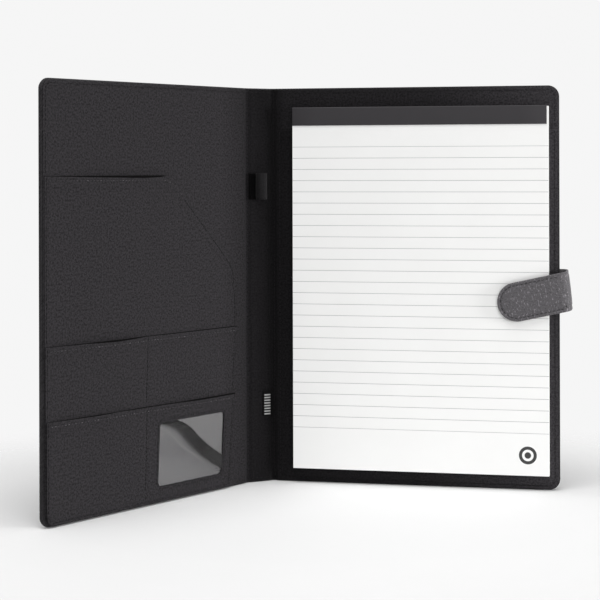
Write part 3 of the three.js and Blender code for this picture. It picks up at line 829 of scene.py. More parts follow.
def film_finish():
    """Clear soft film with a slanted crease, which mirrors the dark spine instead of the page.

    With t the height in mm over the middle of the crease, the crease runs at
    s = middle + slant t + upper max(t, 0)^3 + lower min(t, 0)^2. From it towards the fore-edge the
    film rises evenly for a while, and then its slope falls to nothing over its reach: with q the
    distance past the even part, h = q - q^3 / (3 reach^2). This height is the bump.
    """
    material, tree, shader = new_material("clear_film")
    cloth = cloth_coordinates(tree)
    s, z, _ = [calc(tree, "MULTIPLY", part, 1 / MM) for part in split(tree, cloth)]
    t = calc(tree, "SUBTRACT", z, CREASE_HEIGHT)
    upper = calc(tree, "POWER", calc(tree, "MAXIMUM", t, 0.0), 3.0)
    lower = calc(tree, "POWER", calc(tree, "MINIMUM", t, 0.0), 2.0)
    line = calc(tree, "MULTIPLY_ADD", t, CREASE_SLANT, CREASE_MIDDLE)
    line = calc(tree, "MULTIPLY_ADD", upper, CREASE_UPPER, line)
    line = calc(tree, "MULTIPLY_ADD", lower, CREASE_LOWER, line)
    past_line = calc(tree, "SUBTRACT", s, line)
    past_even = calc(tree, "SUBTRACT", past_line, CREASE_FLAT)
    even = calc(tree, "MINIMUM", calc(tree, "MAXIMUM", past_line, 0.0), CREASE_FLAT)
    q = calc(tree, "MINIMUM", calc(tree, "MAXIMUM", past_even, 0.0), CREASE_REACH)
    bend = calc(tree, "MULTIPLY", calc(tree, "POWER", q, 3.0), 1 / (3 * CREASE_REACH**2))
    haze = noise(tree, cloth, 55.0, 4.0)
    rise = calc(tree, "ADD", even, calc(tree, "SUBTRACT", q, bend))
    height = calc(tree, "MULTIPLY_ADD", haze, HAZE_SHARE, rise)
    set_sockets(shader, Base_Color=(0.95, 0.94, 0.95, 1), Transmission_Weight=1.0, IOR=1.5)
    set_sockets(shader, Roughness=0.2, Coat_Weight=0.75, Coat_Roughness=0.2)
    add_bump(tree, shader, height, CREASE_SLOPE * MM)
    bump = shader.inputs["Normal"].links[0].from_socket
    tree.links.new(bump, shader.inputs["Coat Normal"])
    return material


# %% Finishes: tag, board and steel
TAG_MARGIN = 1.5
TAG_PITCH = 2.24
TAG_DASHES = 8
TAG_DASH_MIDDLE = -6.9
TAG_DASH_HALF = 2.9
tag_low, tag_high = measured("woven_tag", "spine")


def tag_finish(low):
    """Woven tag: dark ribbon with plain pale dashes across it, of one length and one pitch."""
    material, tree, shader = new_material("woven_tag")
    cloth = cloth_coordinates(tree)
    weave = use_group(
        tree,
        WEAVE,
        Cloth=cloth,
        Threads=4200.0,
        Thread_Colour=grey(0.007),
        Hollow_Colour=grey(0.003),
    )
    u, v, _ = split(tree, cloth)
    count = calc(tree, "DIVIDE", calc(tree, "SUBTRACT", v, (low + TAG_MARGIN) * MM), TAG_PITCH * MM)
    near = calc(tree, "ABSOLUTE", calc(tree, "SUBTRACT", count, calc(tree, "ROUND", count)))
    dash = ramp(tree, near, 0.26, 0.22)
    rows = band(tree, count, (TAG_DASHES - 1) / 2, TAG_DASHES / 2)
    width = band(tree, u, TAG_DASH_MIDDLE * MM, TAG_DASH_HALF * MM)
    pale = calc(tree, "MULTIPLY", calc(tree, "MULTIPLY", dash, rows), width)
    feed(tree, shader.inputs["Base Color"], blended(tree, pale, weave["Colour"], grey(0.36)))
    feed(tree, shader.inputs["Roughness"], weave["Roughness"])
    set_sockets(shader, Specular_IOR_Level=0.05)
    add_bump(tree, shader, weave["Height"], 0.00015)
    return material


def board_finish():
    """Grey pulp board: mixed fibres, read from Object coordinates because CAD nodes have no map."""
    material, tree, shader = new_material("greyboard")
    place = add_node(tree, "ShaderNodeTexCoord").outputs["Object"]
    fibre = noise(tree, stretched(tree, place, 1.0, 1.0, 0.35), 700.0, 5.0)
    cloud = noise(tree, place, 60.0, 3.0)
    tone = calc(tree, "MULTIPLY_ADD", fibre, 0.6, calc(tree, "MULTIPLY", cloud, 0.4))
    colour = blended(tree, tone, (0.16, 0.15, 0.125, 1), (0.36, 0.345, 0.30, 1))
    feed(tree, shader.inputs["Base Color"], colour)
    set_sockets(shader, Roughness=0.9)
    add_bump(tree, shader, fibre, 0.0001)
    return material


def steel_finish():
    """Plain steel disc with fine turned marks."""
    material, tree, shader = new_material("steel")
    place = add_node(tree, "ShaderNodeTexCoord").outputs["Object"]
    mark = noise(tree, stretched(tree, place, 1.0, 1.0, 25.0), 400.0, 3.0)
    feed(tree, shader.inputs["Base Color"], blended(tree, mark, grey(0.42), grey(0.6)))
    set_sockets(shader, Metallic=1.0)
    feed(tree, shader.inputs["Roughness"], ramp(tree, mark, 0.3, 0.7, 0.28, 0.42))
    return material


BINDING_TAPE = tape_finish()
CLEAR_FILM = film_finish()
WOVEN_TAG = tag_finish(tag_low[2])
GREYBOARD = board_finish()
STEEL = steel_finish()

# Known fault: the frame already has plain materials called greyboard and steel, and the lookup by
# name below finds those. So the boards, the disc and the magnet show the frame's plain colours, and
# GREYBOARD and STEEL, which Blender calls greyboard.001 and steel.001, are on no node.
CARRIED_OVER = {
    "greyboard": ["back_board", "front_board", "spine_board", "pad_backing", "strap_stiffener"],
    "steel": ["front_keeper_plate", "strap_magnet"],
}
for finish_name, nodes in CARRIED_OVER.items():
    for node_name in nodes:
        slots = frame["nodes"][node_name].data.materials
        slots.clear()
        slots.append(bpy.data.materials[finish_name])
print("finishes:", len(bpy.data.materials))

# %% [markdown]
# The camera repeats the photograph's: far away with a long lens, level, a little above the middle
# of the folder, with the frame shifted down so that the uprights stay upright.
# The floor is a pale sheet that fades out with distance into a pale world, which gives the even
# white studio ground and still keeps the folder's shadow. It fades sooner for what looks at it than
# for the light that it throws back on the folder, because that light keeps the page white.

# %% Camera, floor and world
PHOTO_SIZE = 600
FOCAL_PIXELS = 1801.9
HORIZON_SHIFT_PIXELS = -132.7
CAMERA_PLACE = (-0.009, -1.4, 0.2605)
CAMERA_TURN = 0.0044
CAMERA_ROLL = -0.0028
SENSOR = 36.0

camera_data = bpy.data.cameras.new("camera")
camera_data.sensor_width = SENSOR
camera_data.lens = SENSOR * FOCAL_PIXELS / PHOTO_SIZE
camera_data.shift_y = HORIZON_SHIFT_PIXELS / PHOTO_SIZE
camera = new_object("camera", camera_data)
camera.location = CAMERA_PLACE
heading = Matrix.Rotation(CAMERA_TURN, 3, "Z") @ Matrix.Rotation(math.pi / 2, 3, "X")
camera.rotation_euler = (heading @ Matrix.Rotation(CAMERA_ROLL, 3, "Z")).to_euler()
bpy.context.scene.camera = camera
bpy.context.scene.view_settings.view_transform = "Standard"

FLOOR_HALF = 3.0
FLOOR_SEEN = (0.22, 0.48)
FLOOR_LIT = (0.45, 1.1)
GROUND_WHITE = 0.92
AMBIENT = 0.2


def seen_directly(tree):
    """1 for camera, glossy and transmission rays, 0 for the diffuse light that reaches the folder."""
    path = add_node(tree, "ShaderNodeLightPath")
    straight = calc(tree, "MAXIMUM", path.outputs["Is Camera Ray"], path.outputs["Is Glossy Ray"])
    return calc(tree, "MAXIMUM", straight, path.outputs["Is Transmission Ray"])


def floor_finish():
    """White floor that lets the world show through further out, and sooner where it is looked at."""
    material, tree, shader = new_material("studio_floor")
    place = add_node(tree, "ShaderNodeTexCoord").outputs["Object"]
    distance = add_node(tree, "ShaderNodeVectorMath", operation="LENGTH")
    feed(tree, distance.inputs[0], place)
    seen = ramp(tree, distance.outputs["Value"], *FLOOR_SEEN, 1.0, 0.0)
    lit = ramp(tree, distance.outputs["Value"], *FLOOR_LIT, 1.0, 0.0)
    near = calc(tree, "MULTIPLY_ADD", calc(tree, "SUBTRACT", seen, lit), seen_directly(tree), lit)
    grain = noise(tree, place, 6.0, 2.0)
    feed(tree, shader.inputs["Base Color"], blended(tree, grain, grey(0.79), grey(0.81)))
    set_sockets(shader, Roughness=0.7, Specular_IOR_Level=0.2)
    clear = add_node(tree, "ShaderNodeBsdfTransparent")
    join = add_node(tree, "ShaderNodeMixShader")
    feed(tree, join.inputs[0], near)
    tree.links.new(clear.outputs[0], join.inputs[1])
    tree.links.new(shader.outputs[0], join.inputs[2])
    output = next(node for node in tree.nodes if node.type == "OUTPUT_MATERIAL")
    tree.links.new(join.outputs[0], output.inputs[0])
    return material


def floor_mesh(name, half, count):
    """Square grid at z = 0, from -half to half both ways."""
    steps = np.linspace(-half, half, count)
    points = np.stack([*np.meshgrid(steps, steps), np.zeros((count, count))], -1)
    mesh = bpy.data.meshes.new(name)
    mesh.from_pydata(points.reshape(-1, 3).tolist(), [], grid_faces(count, count).tolist())
    return new_object(name, mesh)


floor = floor_mesh("studio_floor", FLOOR_HALF, 40)
floor.data.materials.append(floor_finish())

world = bpy.data.worlds.new("studio")
bpy.context.scene.world = world
world.use_nodes = True
sky = world.node_tree
sky.nodes.clear()
ambient = add_node(sky, "ShaderNodeBackground")
set_sockets(ambient, Color=grey(1.0), Strength=AMBIENT)
ground = add_node(sky, "ShaderNodeBackground")
set_sockets(ground, Color=grey(GROUND_WHITE))
choice = add_node(sky, "ShaderNodeMixShader")
feed(sky, choice.inputs[0], seen_directly(sky))
sky.links.new(ambient.outputs[0], choice.inputs[1])
sky.links.new(ground.outputs[0], choice.inputs[2])
sky_output = add_node(sky, "ShaderNodeOutputWorld")
sky.links.new(choice.outputs[0], sky_output.inputs[0])

# %% [markdown]
# The light is plain and soft. In the photograph the strap throws a long faint shadow to its left,
# level with itself, and the pad darkens the strip to its left. So the main lamp stands far to the
# right at the strap's height and grazes the page. A broad lamp above lights floor and page, and one
# in front fills the covers. Their powers were solved from renders of each lamp alone.


# %% Lamps
def soft_lamp(name, place, aim, size, power):
    """A square area lamp at a place, turned to its aim."""
    light = bpy.data.lights.new(name, "AREA")
    light.shape = "SQUARE"
    light.size = size
    light.energy = power
    lamp = new_object(name, light)
    lamp.location = place
    toward = Vector(aim) - Vector(place)
    lamp.rotation_euler = toward.to_track_quat("-Z", "Y").to_euler()


soft_lamp("main_lamp", (1.94, -0.65, 0.25), (-0.05, 0.02, 0.15), 0.45, 31.0)
soft_lamp("front_lamp", (0.5, -2.2, 0.9), (0.0, 0.02, 0.15), 1.2, 18.5)
soft_lamp("top_lamp", (-0.2, -0.5, 2.2), (0.0, 0.0, 0.1), 1.6, 43.0)

# %% [markdown]
# The outer cloth is wrapped round the boards and glued, and its turned edge shows as a narrow rim
# round each cover. One way to model it is a box with a bevel. A loft is better here: at each station
# across the folder a rounded loop goes round the board, and the loops follow the bent section, so
# cover, gutter and spine are one skin. It is cut in the middle of the spine, because a piece may
# bend across one hinge only. It is cut in the middle of the spine, and the two halves meet there
# without a step.


# %% Stations across the folder
GUTTER_STATIONS = 17
CORNER_STATIONS = 22


def cover_stations(inset, step):
    """Distances from a gutter: closer in the gutter, and by angle round the fore-edge corner."""
    end = COVER_WIDTH - inset
    radius = CORNER_RADIUS - inset
    over_gutter = np.linspace(-SETBACK, SETBACK, GUTTER_STATIONS)
    flat = np.linspace(SETBACK, end - radius, int((end - radius - SETBACK) / step))[1:]
    corner = end - radius + radius * np.sin(np.linspace(0, np.pi / 2, CORNER_STATIONS)[1:])
    return np.concatenate([over_gutter, flat, corner])


def half_folder_stations(cover, inset, step):
    """Flat coordinates f from the middle of the spine to one cover's fore-edge."""
    from_gutter = cover_stations(inset, step)
    spine_part = np.linspace(-SPINE_WIDTH / 2, -SETBACK, 6)[:-1]
    from_middle = np.concatenate([spine_part, from_gutter])
    return from_middle if cover == "back_cover" else -SPINE_WIDTH - from_middle


def from_fore_edge(f):
    """Distance from the nearer cover's fore-edge."""
    return COVER_WIDTH - np.maximum(f, -SPINE_WIDTH - f)


def corner_rise(f, inset):
    """How far the outline has risen from the bottom edge at f, round the fore-edge corner."""
    return rounded_drop(from_fore_edge(f) - inset, CORNER_RADIUS - inset)


# %% Outer cloth
SKIN_STEP = 6.0
SKIN_ROWS = 40


def wrapped_board(name, cover, near, far, inset, radius, step, face_steps, relief, finish, slot):
    """Loft through loops round the board: their height follows the outline, their depth the pinch.

    At the fore-edge the depth closes in by a quarter round, and relief(f, z) pushes the reader's
    side in or out by a fraction of a millimetre.
    """
    f = half_folder_stations(cover, inset, step)
    rise = corner_rise(f, inset)
    drop = rounded_drop(from_fore_edge(f) - inset, radius)
    depth_share = pinch(f)
    pattern = oblong_pattern(face_steps, 5)
    y, z = oblong_loops(
        pattern,
        inset + rise,
        COVER_HEIGHT - inset - rise,
        near * depth_share + drop,
        far * depth_share - drop,
        np.minimum(radius, (far - near) * depth_share / 2 - drop)[:, None] * 0.98,
    )
    flat = np.broadcast_to(f[:, None], y.shape)
    reader_side = pattern[0] < 0
    y = y - np.where(reader_side, relief(flat, z), 0)
    points = folded(flat, y, z)
    uv = np.stack([flat, z + y], -1) * MM
    return make_piece(name, points, loft_faces(*y.shape), uv, finish, slot)


def level(f, z):
    """No relief."""
    return np.zeros_like(f)


def bend_at_gutter(piece, cover):
    """Bakes a piece's placing into its mesh; the points beside its gutter are worked out but not used."""
    at = 0.0 if cover == "back_cover" else -SPINE_WIDTH
    outward = SETBACK if cover == "back_cover" else -SETBACK
    start = folded(np.array(at + outward), 0.0, COVER_HEIGHT / 2)
    end = folded(np.array(at - outward), 0.0, COVER_HEIGHT / 2)
    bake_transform(piece)


skin_section = (HEM_FACE, OUTER_FACE, 0.0, EDGE_RADIUS)
skin_sizes = (*skin_section, SKIN_STEP, SKIN_ROWS, level, SKIN_CLOTH, "skin_cloth")
back_skin = wrapped_board("back_skin", "back_cover", *skin_sizes)
front_skin = wrapped_board("front_skin", "front_cover", *skin_sizes)
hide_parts("back_outer_skin", "back_hinge_web", "spine_outer_skin")
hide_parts("front_outer_skin", "front_hinge_web", "spine_outer_skin")

# %% [markdown]
# The lining is a thinner cloth sewn down inside the rim. A row of stitches a few millimetres in from
# the edge pulls it tight, and between the stitches it puckers by a tenth of a millimetre. In each
# gutter a seam draws it in. The relief is a sum of such effects, each a simple function of the
# distance to its seam, and it moves only the side that the reader sees.

# %% Lining
LINING_EDGE = lining_low[2]
LINING_FACE = lining_high[1]
EDGE_SEAM = 3.5
BACK_SEAM = 1.6
FRONT_SEAM = -SPINE_WIDTH - 0.3
PUCKER_PITCH = 7.3
PUCKER_DEPTH = 0.10
EDGE_SEAM_DEPTH = 0.12
EDGE_SEAM_WIDTH = 0.9
GUTTER_SEAM_DEPTH = 0.25
GUTTER_SEAM_WIDTH = 0.8
LINING_TUCK = 0.2
LINING_RADIUS = 0.4
LINING_STEP = 2.4
LINING_ROWS = 130


def from_outline(f, z):
    """Rough distance from the outline of the folder, top, bottom and fore-edge."""
    return np.minimum(np.minimum(z, COVER_HEIGHT - z), from_fore_edge(f))


def bell(distance, width):
    """1 at distance 0, and nearly 0 at twice the width on either side."""
    return np.exp(-((distance / width) ** 2))


def lining_relief(f, z):
    """Grooves at the seams, puckers beside the edge seam and slow waves in the middle."""
    edge = from_outline(f, z) - EDGE_SEAM
    along = f + z
    puckers = PUCKER_DEPTH * np.sin(2 * np.pi * along / PUCKER_PITCH) * np.exp(-np.abs(edge) / 5)
    gutter_seam = np.minimum(np.abs(f - BACK_SEAM), np.abs(f - FRONT_SEAM))
    slow = 0.12 * np.sin(f / 19 + 1.3) * np.sin(z / 31 + 0.4) + 0.06 * np.sin(f / 8 - z / 23)
    slow = slow * np.clip(edge / 20, 0, 1) * np.clip(gutter_seam / 10, 0, 1)
    at_edge = EDGE_SEAM_DEPTH * bell(edge, EDGE_SEAM_WIDTH)
    at_gutter = GUTTER_SEAM_DEPTH * bell(gutter_seam, GUTTER_SEAM_WIDTH)
    return np.where(edge > -EDGE_SEAM + 0.6, -at_edge - at_gutter + puckers + slow, 0)


lining_section = (INNER_FACE, LINING_FACE + LINING_TUCK, LINING_EDGE, LINING_RADIUS)
lining_sizes = (*lining_section, LINING_STEP, LINING_ROWS, lining_relief, LINING_CLOTH, "lining_cloth")
back_lining = wrapped_board("back_lining_cloth", "back_cover", *lining_sizes)
front_lining = wrapped_board("front_lining_cloth", "front_cover", *lining_sizes)
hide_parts("back_lining", "spine_lining")
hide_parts("front_lining", "spine_lining")

# %% [markdown]
# The front cover has three pockets, one over another. Each is a cloth panel sewn down at its sides
# and foot, with a folded hem along its mouth. It isn't pulled tight, so its mouth bows open a little
# and shows a slit, whose darkness is a shadow painted into the pocket's finish. The document pocket's
# mouth runs level from the fore-edge, turns down a slant at its shoulder and rounds off at the gutter,
# so its height is read off a line whose corners are cut by curves. All three panels taper: below the
# middle mouth their gutter side leans to the fore-edge. One rule moves each point by its share of that
# lean, so panels, divider, window and stitches move together and can all be drawn upright.

# %% Pocket sizes
document_low, document_high = measured("document_pocket", "front_cover")
middle_high = measured("middle_pocket", "front_cover")[1]
card_low, card_high = measured("card_pocket", "front_cover")
POCKET_START = -document_high[0]
POCKET_END = -document_low[0]
POCKET_FLOOR = document_low[2]
DOCUMENT_MOUTH = document_high[2]
MIDDLE_MOUTH = middle_high[2]
CARD_MOUTH = card_high[2]
DOCUMENT_SHOULDER = 96.5
DOCUMENT_KNEE = 179.0
MOUTH_TURN = 14.5
POCKET_LEAN = 11.4
DIVIDER_SEAM = 125.0
SIDE_SEAM = 2.2
PRESS_DEPTH = 0.28
PRESS_WIDTH = 1.4
DIVIDER_WIDTH = 1.3
PANEL_CLOTH = 0.4
HEM_WIDTH = 8.0
HEM_CLOTH = 0.2
HEM_STEP = 1.4
SLACK_DEPTH = 0.32
SLACK_LEAST = -0.2
SLACK_MOST = 0.12
PANEL_COLUMNS = 150
PANEL_ROWS = 46
ROWS_IN_HEM = [6.0, 4.0, 2.0, 0.8, 0.25, 0.0]
PANEL_EDGE = 0.3
mouth_corners = [
    (POCKET_START, POCKET_FLOOR),
    (POCKET_START, DOCUMENT_KNEE),
    (DOCUMENT_SHOULDER, DOCUMENT_MOUTH),
    (POCKET_END, DOCUMENT_MOUTH),
]
mouth_line = rounded_path(mouth_corners, MOUTH_TURN, 24)[1:]


# %% Mouths of the pockets
BOWS = {
    "document_pocket": [(2.6, DOCUMENT_SHOULDER - 8, POCKET_END, 0.62)],
    "middle_pocket": [(3.0, DIVIDER_SEAM, POCKET_END, 0.9), (0.9, POCKET_START, DIVIDER_SEAM, 1.0)],
    "card_pocket": [(1.7, DIVIDER_SEAM, POCKET_END, 1.0), (2.0, POCKET_START, DIVIDER_SEAM, 1.2)],
}


def lobe(s, start, end, skew):
    """A half wave between two seams, 0 outside; a skew under 1 moves its crest to the start."""
    share = np.clip((s - start) / (end - start), 0, 1)
    return np.sin(np.pi * share**skew)


def tapered(s, z):
    """The pockets' gutter side leans to the fore-edge below the middle mouth: s moved by a share."""
    lean = POCKET_LEAN * np.maximum(1 - z / MIDDLE_MOUTH, 0)
    return s + lean * (POCKET_END - s) / (POCKET_END - POCKET_START)


def on_pocket_side(s, y, z):
    """Row-frame point of the pockets, from coordinates in which their sides are upright."""
    return on_front(tapered(s, z), y, z)


def document_mouth(s):
    """Height of the document pocket's mouth, read off its line."""
    return np.interp(s, mouth_line[:, 0], mouth_line[:, 1])


def level_mouth(height):
    """The rule of a level mouth: the same height everywhere."""

    def mouth(s):
        return np.full_like(s, height)

    return mouth


def mouth_bow(kind):
    """The rule of how far a mouth stands open: the sum of its lobes, each a depth times a wave."""

    def bow(s):
        return sum(depth * lobe(s, start, end, skew) for depth, start, end, skew in BOWS[kind])

    return bow


# %% Cloth of the pockets
def foot_rise(s, floor):
    """How far the foot of a panel has risen at s, round the cover's corner."""
    radius = CORNER_RADIUS - floor
    past = np.clip(s - (COVER_WIDTH - CORNER_RADIUS), 0, radius)
    return radius - np.sqrt(radius**2 - past**2)


def pocket_floor(s):
    """Foot of a pocket: straight, then round the cover's corner."""
    return POCKET_FLOOR + foot_rise(s, POCKET_FLOOR)


def seam_dip(s, z, divided):
    """How far the sewn edges, and the divider seam where there is one, press a panel down."""
    foot = bell(z - EDGE_SEAM, PRESS_WIDTH)
    fore_edge = bell(COVER_WIDTH - EDGE_SEAM - s, PRESS_WIDTH)
    gutter_side = bell(s - POCKET_START - SIDE_SEAM, PRESS_WIDTH)
    divider = bell(s - DIVIDER_SEAM, DIVIDER_WIDTH) if divided else 0.0
    return PRESS_DEPTH * np.maximum(np.maximum(foot, fore_edge), np.maximum(gutter_side, divider))


def slack(s, z, seed):
    """Slow waves of loose cloth, which die out at the seams round a panel."""
    inside = np.clip((s - POCKET_START) / 30, 0, 1) * np.clip((POCKET_END - s) / 30, 0, 1)
    waves = np.sin(s / 27 + seed) * np.sin(z / 33 + 2 * seed) + 0.5 * np.sin(s / 11 - z / 17 + seed)
    loose = SLACK_DEPTH * waves * inside * np.clip(z / 25, 0, 1)
    return np.clip(loose, SLACK_LEAST, SLACK_MOST)


def slant_factor(mouth, s):
    """How much longer an upright step is than the step square to the mouth's line there."""
    steep = np.clip((mouth(s + 0.25) - mouth(s - 0.25)) / 0.5, -3, 3)
    return np.sqrt(1 + steep**2)


def panel_front(s, z, back, mouth, bow, stiffness, divided, seed):
    """Depth of a panel's front face: cloth, hem, bow at the mouth, dips at seams and slack."""
    below = (mouth(s) - z) / slant_factor(mouth, s)
    hem = HEM_CLOTH * np.clip((HEM_WIDTH + HEM_STEP - below) / HEM_STEP, 0, 1)
    rise = np.clip((z - POCKET_FLOOR) / (mouth(s) - POCKET_FLOOR), 0, 1)
    out = PANEL_CLOTH + hem + bow(s) * rise**stiffness + slack(s, z, seed)
    return back - out + seam_dip(s, z, divided)


# %% Pocket panels
def pocket_panel(name, finish, back, mouth, bow, stiffness, divided, seed):
    """Grid of columns along s and rows from the foot to the mouth, set closer beside the mouth."""
    s = np.linspace(POCKET_START, POCKET_END, PANEL_COLUMNS)
    over_step = [HEM_WIDTH + 4, HEM_WIDTH + HEM_STEP, HEM_WIDTH + HEM_STEP / 2, HEM_WIDTH]
    below = np.array([[*over_step, *ROWS_IN_HEM]]).T
    tall = mouth(s)
    lower = np.linspace(0, 1, PANEL_ROWS)[:-1, None] ** 0.9
    foot = pocket_floor(s)
    below = below * slant_factor(mouth, s)
    z = np.concatenate([foot + (tall - below[0] - foot) * lower, tall - below])
    s = np.broadcast_to(s, z.shape)
    front = panel_front(s, z, back, mouth, bow, stiffness, divided, seed)
    front = front + rounded_drop(tall - z, PANEL_EDGE)
    rise = np.clip((z - POCKET_FLOOR) / (tall - POCKET_FLOOR), 0, 1)
    rear = np.maximum(back - bow(s) * rise**stiffness, front + PANEL_EDGE)
    faces = [on_pocket_side(s, depth, z) for depth in (front, rear)]
    return make_sheet(name, *faces, s, z, finish, "lining_cloth")


MOUTHS = {
    "document_pocket": (document_high[1], document_mouth),
    "middle_pocket": (middle_high[1], level_mouth(MIDDLE_MOUTH)),
    "card_pocket": (card_high[1], level_mouth(CARD_MOUTH)),
}
CLOTH_HABITS = {
    "document_pocket": (5, False, 0.7),
    "middle_pocket": (4, True, 2.1),
    "card_pocket": (5, True, 3.6),
}
POCKETS = {kind: (*MOUTHS[kind], mouth_bow(kind), *CLOTH_HABITS[kind]) for kind in MOUTHS}
pocket_pieces = {}
for node_name, shape in POCKETS.items():
    mouth_height = measured(node_name, "front_cover")[1][2]
    finish = pocket_finish(node_name + "_cloth", mouth_height, MOUTH_SHADOWS[node_name])
    pocket_pieces[node_name] = pocket_panel(node_name + "_panel", finish, *shape)
    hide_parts(node_name)

# %% [markdown]
# The lowest pocket has a window for a card. On the real folder it is cut out of the sewn panel, and
# a sheet of clear film is sewn behind the hole. The panel's grid doesn't line up with the window's
# round corners, so the hole is cut with a Boolean modifier, which is applied at once. The film is a
# thin sheet that mirrors the white page. A crease bends its light away, so a dark streak curves
# across it, as in the photograph: that is left to the bump of its finish.

# %% Window
WINDOW_START = 28.5
WINDOW_WIDTH = 81.0
WINDOW_RADIUS = 4.0
WINDOW_SEAM = 2.2
CUT_AHEAD = 6.0
CUT_BEHIND = 3.0
FILM_OVERLAP = 5.0
FILM_WAVE = 0.15
FILM_SETBACK = 0.05
FILM_WAVE_STEP = 9.0
film_low, film_high = measured("card_window", "front_cover")
WINDOW_END = WINDOW_START + WINDOW_WIDTH
WINDOW_FOOT = film_low[2] + FILM_OVERLAP
WINDOW_HEAD = film_high[2] - FILM_OVERLAP


def round_rectangle(start, end, foot, head, radius, steps):
    """Outline of a rectangle with round corners, anticlockwise from the lower right corner."""
    turn = np.linspace(0, np.pi / 2, steps)
    quarters = [
        (end - radius, foot + radius, -np.pi / 2),
        (end - radius, head - radius, 0.0),
        (start + radius, head - radius, np.pi / 2),
        (start + radius, foot + radius, np.pi),
    ]
    arcs = [(x + radius * np.cos(turn + a), z + radius * np.sin(turn + a)) for x, z, a in quarters]
    return np.concatenate([np.stack(arc, -1) for arc in arcs])


def cut_window(piece):
    """Cuts the window through a panel with a prism, by a Boolean modifier applied on the spot."""
    outline = round_rectangle(WINDOW_START, WINDOW_END, WINDOW_FOOT, WINDOW_HEAD, WINDOW_RADIUS, 9)
    near = on_pocket_side(outline[:, 0], card_low[1] - CUT_AHEAD, outline[:, 1])
    far = on_pocket_side(outline[:, 0], card_high[1] + CUT_BEHIND, outline[:, 1])
    count = len(outline)
    i = np.arange(count)
    after = (i + 1) % count
    sides = np.stack([i, after, after + count, i + count], -1).tolist()
    mesh = bpy.data.meshes.new("window_cutter")
    mesh.from_pydata(np.concatenate([near, far]).tolist(), [], sides + [list(i), list(i + count)])
    turn_out(mesh)
    cutter = new_object("window_cutter", mesh)
    modifier = piece.modifiers.new("window", "BOOLEAN")
    modifier.operation = "DIFFERENCE"
    modifier.solver = "EXACT"
    modifier.object = cutter
    bpy.context.view_layer.update()
    evaluated = piece.evaluated_get(bpy.context.evaluated_depsgraph_get())
    cut = bpy.data.meshes.new_from_object(evaluated)
    piece.modifiers.clear()
    piece.data = cut
    bpy.data.objects.remove(cutter)
    print("window cut:", len(cut.polygons), "faces")


cut_window(pocket_pieces["card_pocket"])


def film_wave(s, z):
    """Depth of the film's slow waves across the window."""
    u = (s - WINDOW_START) / (WINDOW_END - WINDOW_START)
    v = (z - WINDOW_FOOT) / (WINDOW_HEAD - WINDOW_FOOT)
    return FILM_WAVE * np.sin(3.1 * u + 1.7 * v)


def window_film():
    """Film sheet behind the window, held by its seam at the edge and waved inside it."""
    s = np.linspace(WINDOW_START - FILM_OVERLAP, WINDOW_END + FILM_OVERLAP, 60)[None, :]
    z = np.linspace(film_low[2], film_high[2], 44)[:, None]
    s, z = np.broadcast_arrays(s, z)
    across = np.minimum(s - WINDOW_START, WINDOW_END - s) + FILM_OVERLAP
    inside = np.minimum(across, np.minimum(z - film_low[2], film_high[2] - z))
    wave = film_wave(s, z) * np.clip((inside - FILM_OVERLAP * 0.6) / FILM_WAVE_STEP, 0, 1)
    front = film_low[1] + FILM_SETBACK - 0.5 * wave
    rear = front + (film_high[1] - film_low[1])
    faces = [on_pocket_side(s, depth, z) for depth in (front, rear)]
    piece = make_sheet("window_film", *faces, s, z, CLEAR_FILM, "clear_film")
    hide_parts("card_window")
    return piece


film = window_film()

# %% [markdown]
# On the back cover a cloth panel is sewn down along three sides, and the pad's backing board slips
# behind it from above. It stands a few millimetres off the cover in the middle and slopes down to
# its seams, so it is one grid whose depth is a smooth step of the distance to the nearest seam.

# %% Slot panel
slot_low, slot_high = measured("pad_pocket", "back_cover")
SLOT_SLOPE = 7.0
SLOT_SEAM = 2.4
SLOT_DIP = 0.15
SLOT_HEM_CLOTH = 0.12
SLOT_HEM_STEP = 0.35
SLOT_EDGE = 0.25
SLOT_SEAT = slot_high[1] - PANEL_CLOTH
BELOW_SLOT_MOUTH = [HEM_WIDTH + 2, HEM_WIDTH + 0.4, HEM_WIDTH, 5, 2, 0.8, 0.25, 0.0]


def slot_rise(x, z, foot):
    """How far the panel has come off the cover: a smooth step of the distance to its seams."""
    edge = np.minimum(np.minimum(x - slot_low[0], slot_high[0] - x), z - foot)
    share = np.clip((edge - SLOT_SEAM) / SLOT_SLOPE, 0, 1)
    return edge, (slot_low[1] - SLOT_SEAT) * (share**2 * (3 - 2 * share))


def slot_panel():
    """Front face: the slot's depth in the middle, the lining's at the seams, a hem at the mouth."""
    x = np.linspace(slot_low[0], slot_high[0], 120)
    foot = slot_low[2] + foot_rise(x, slot_low[2])
    near_mouth = np.array(BELOW_SLOT_MOUTH)
    share = np.linspace(0, 1, 90)[:-1, None] ** 1.05
    lower = foot + (slot_high[2] - near_mouth[0] - foot) * share
    upper = np.broadcast_to(slot_high[2] - near_mouth[:, None], (len(near_mouth), len(x)))
    z = np.concatenate([lower, upper])
    x = np.broadcast_to(x, z.shape)
    edge, rise = slot_rise(x, z, foot)
    in_hem = (HEM_WIDTH + SLOT_HEM_STEP - (slot_high[2] - z)) / SLOT_HEM_STEP
    hem = np.clip(in_hem, 0, 1) * SLOT_HEM_CLOTH
    front = SLOT_SEAT + rise - hem + SLOT_DIP * bell(edge - SLOT_SEAM, 1.0)
    front = front + rounded_drop(slot_high[2] - z, SLOT_EDGE) + rounded_drop(edge, SLOT_EDGE)
    rear = np.maximum(SLOT_SEAT + PANEL_CLOTH + rise, front + SLOT_EDGE)
    faces = [placed("back_cover", x, depth, z) for depth in (front, rear)]
    piece = make_sheet("slot_panel", *faces, x, z, SLOT_CLOTH, "lining_cloth")
    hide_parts("pad_pocket")
    return piece


slot_piece = slot_panel()

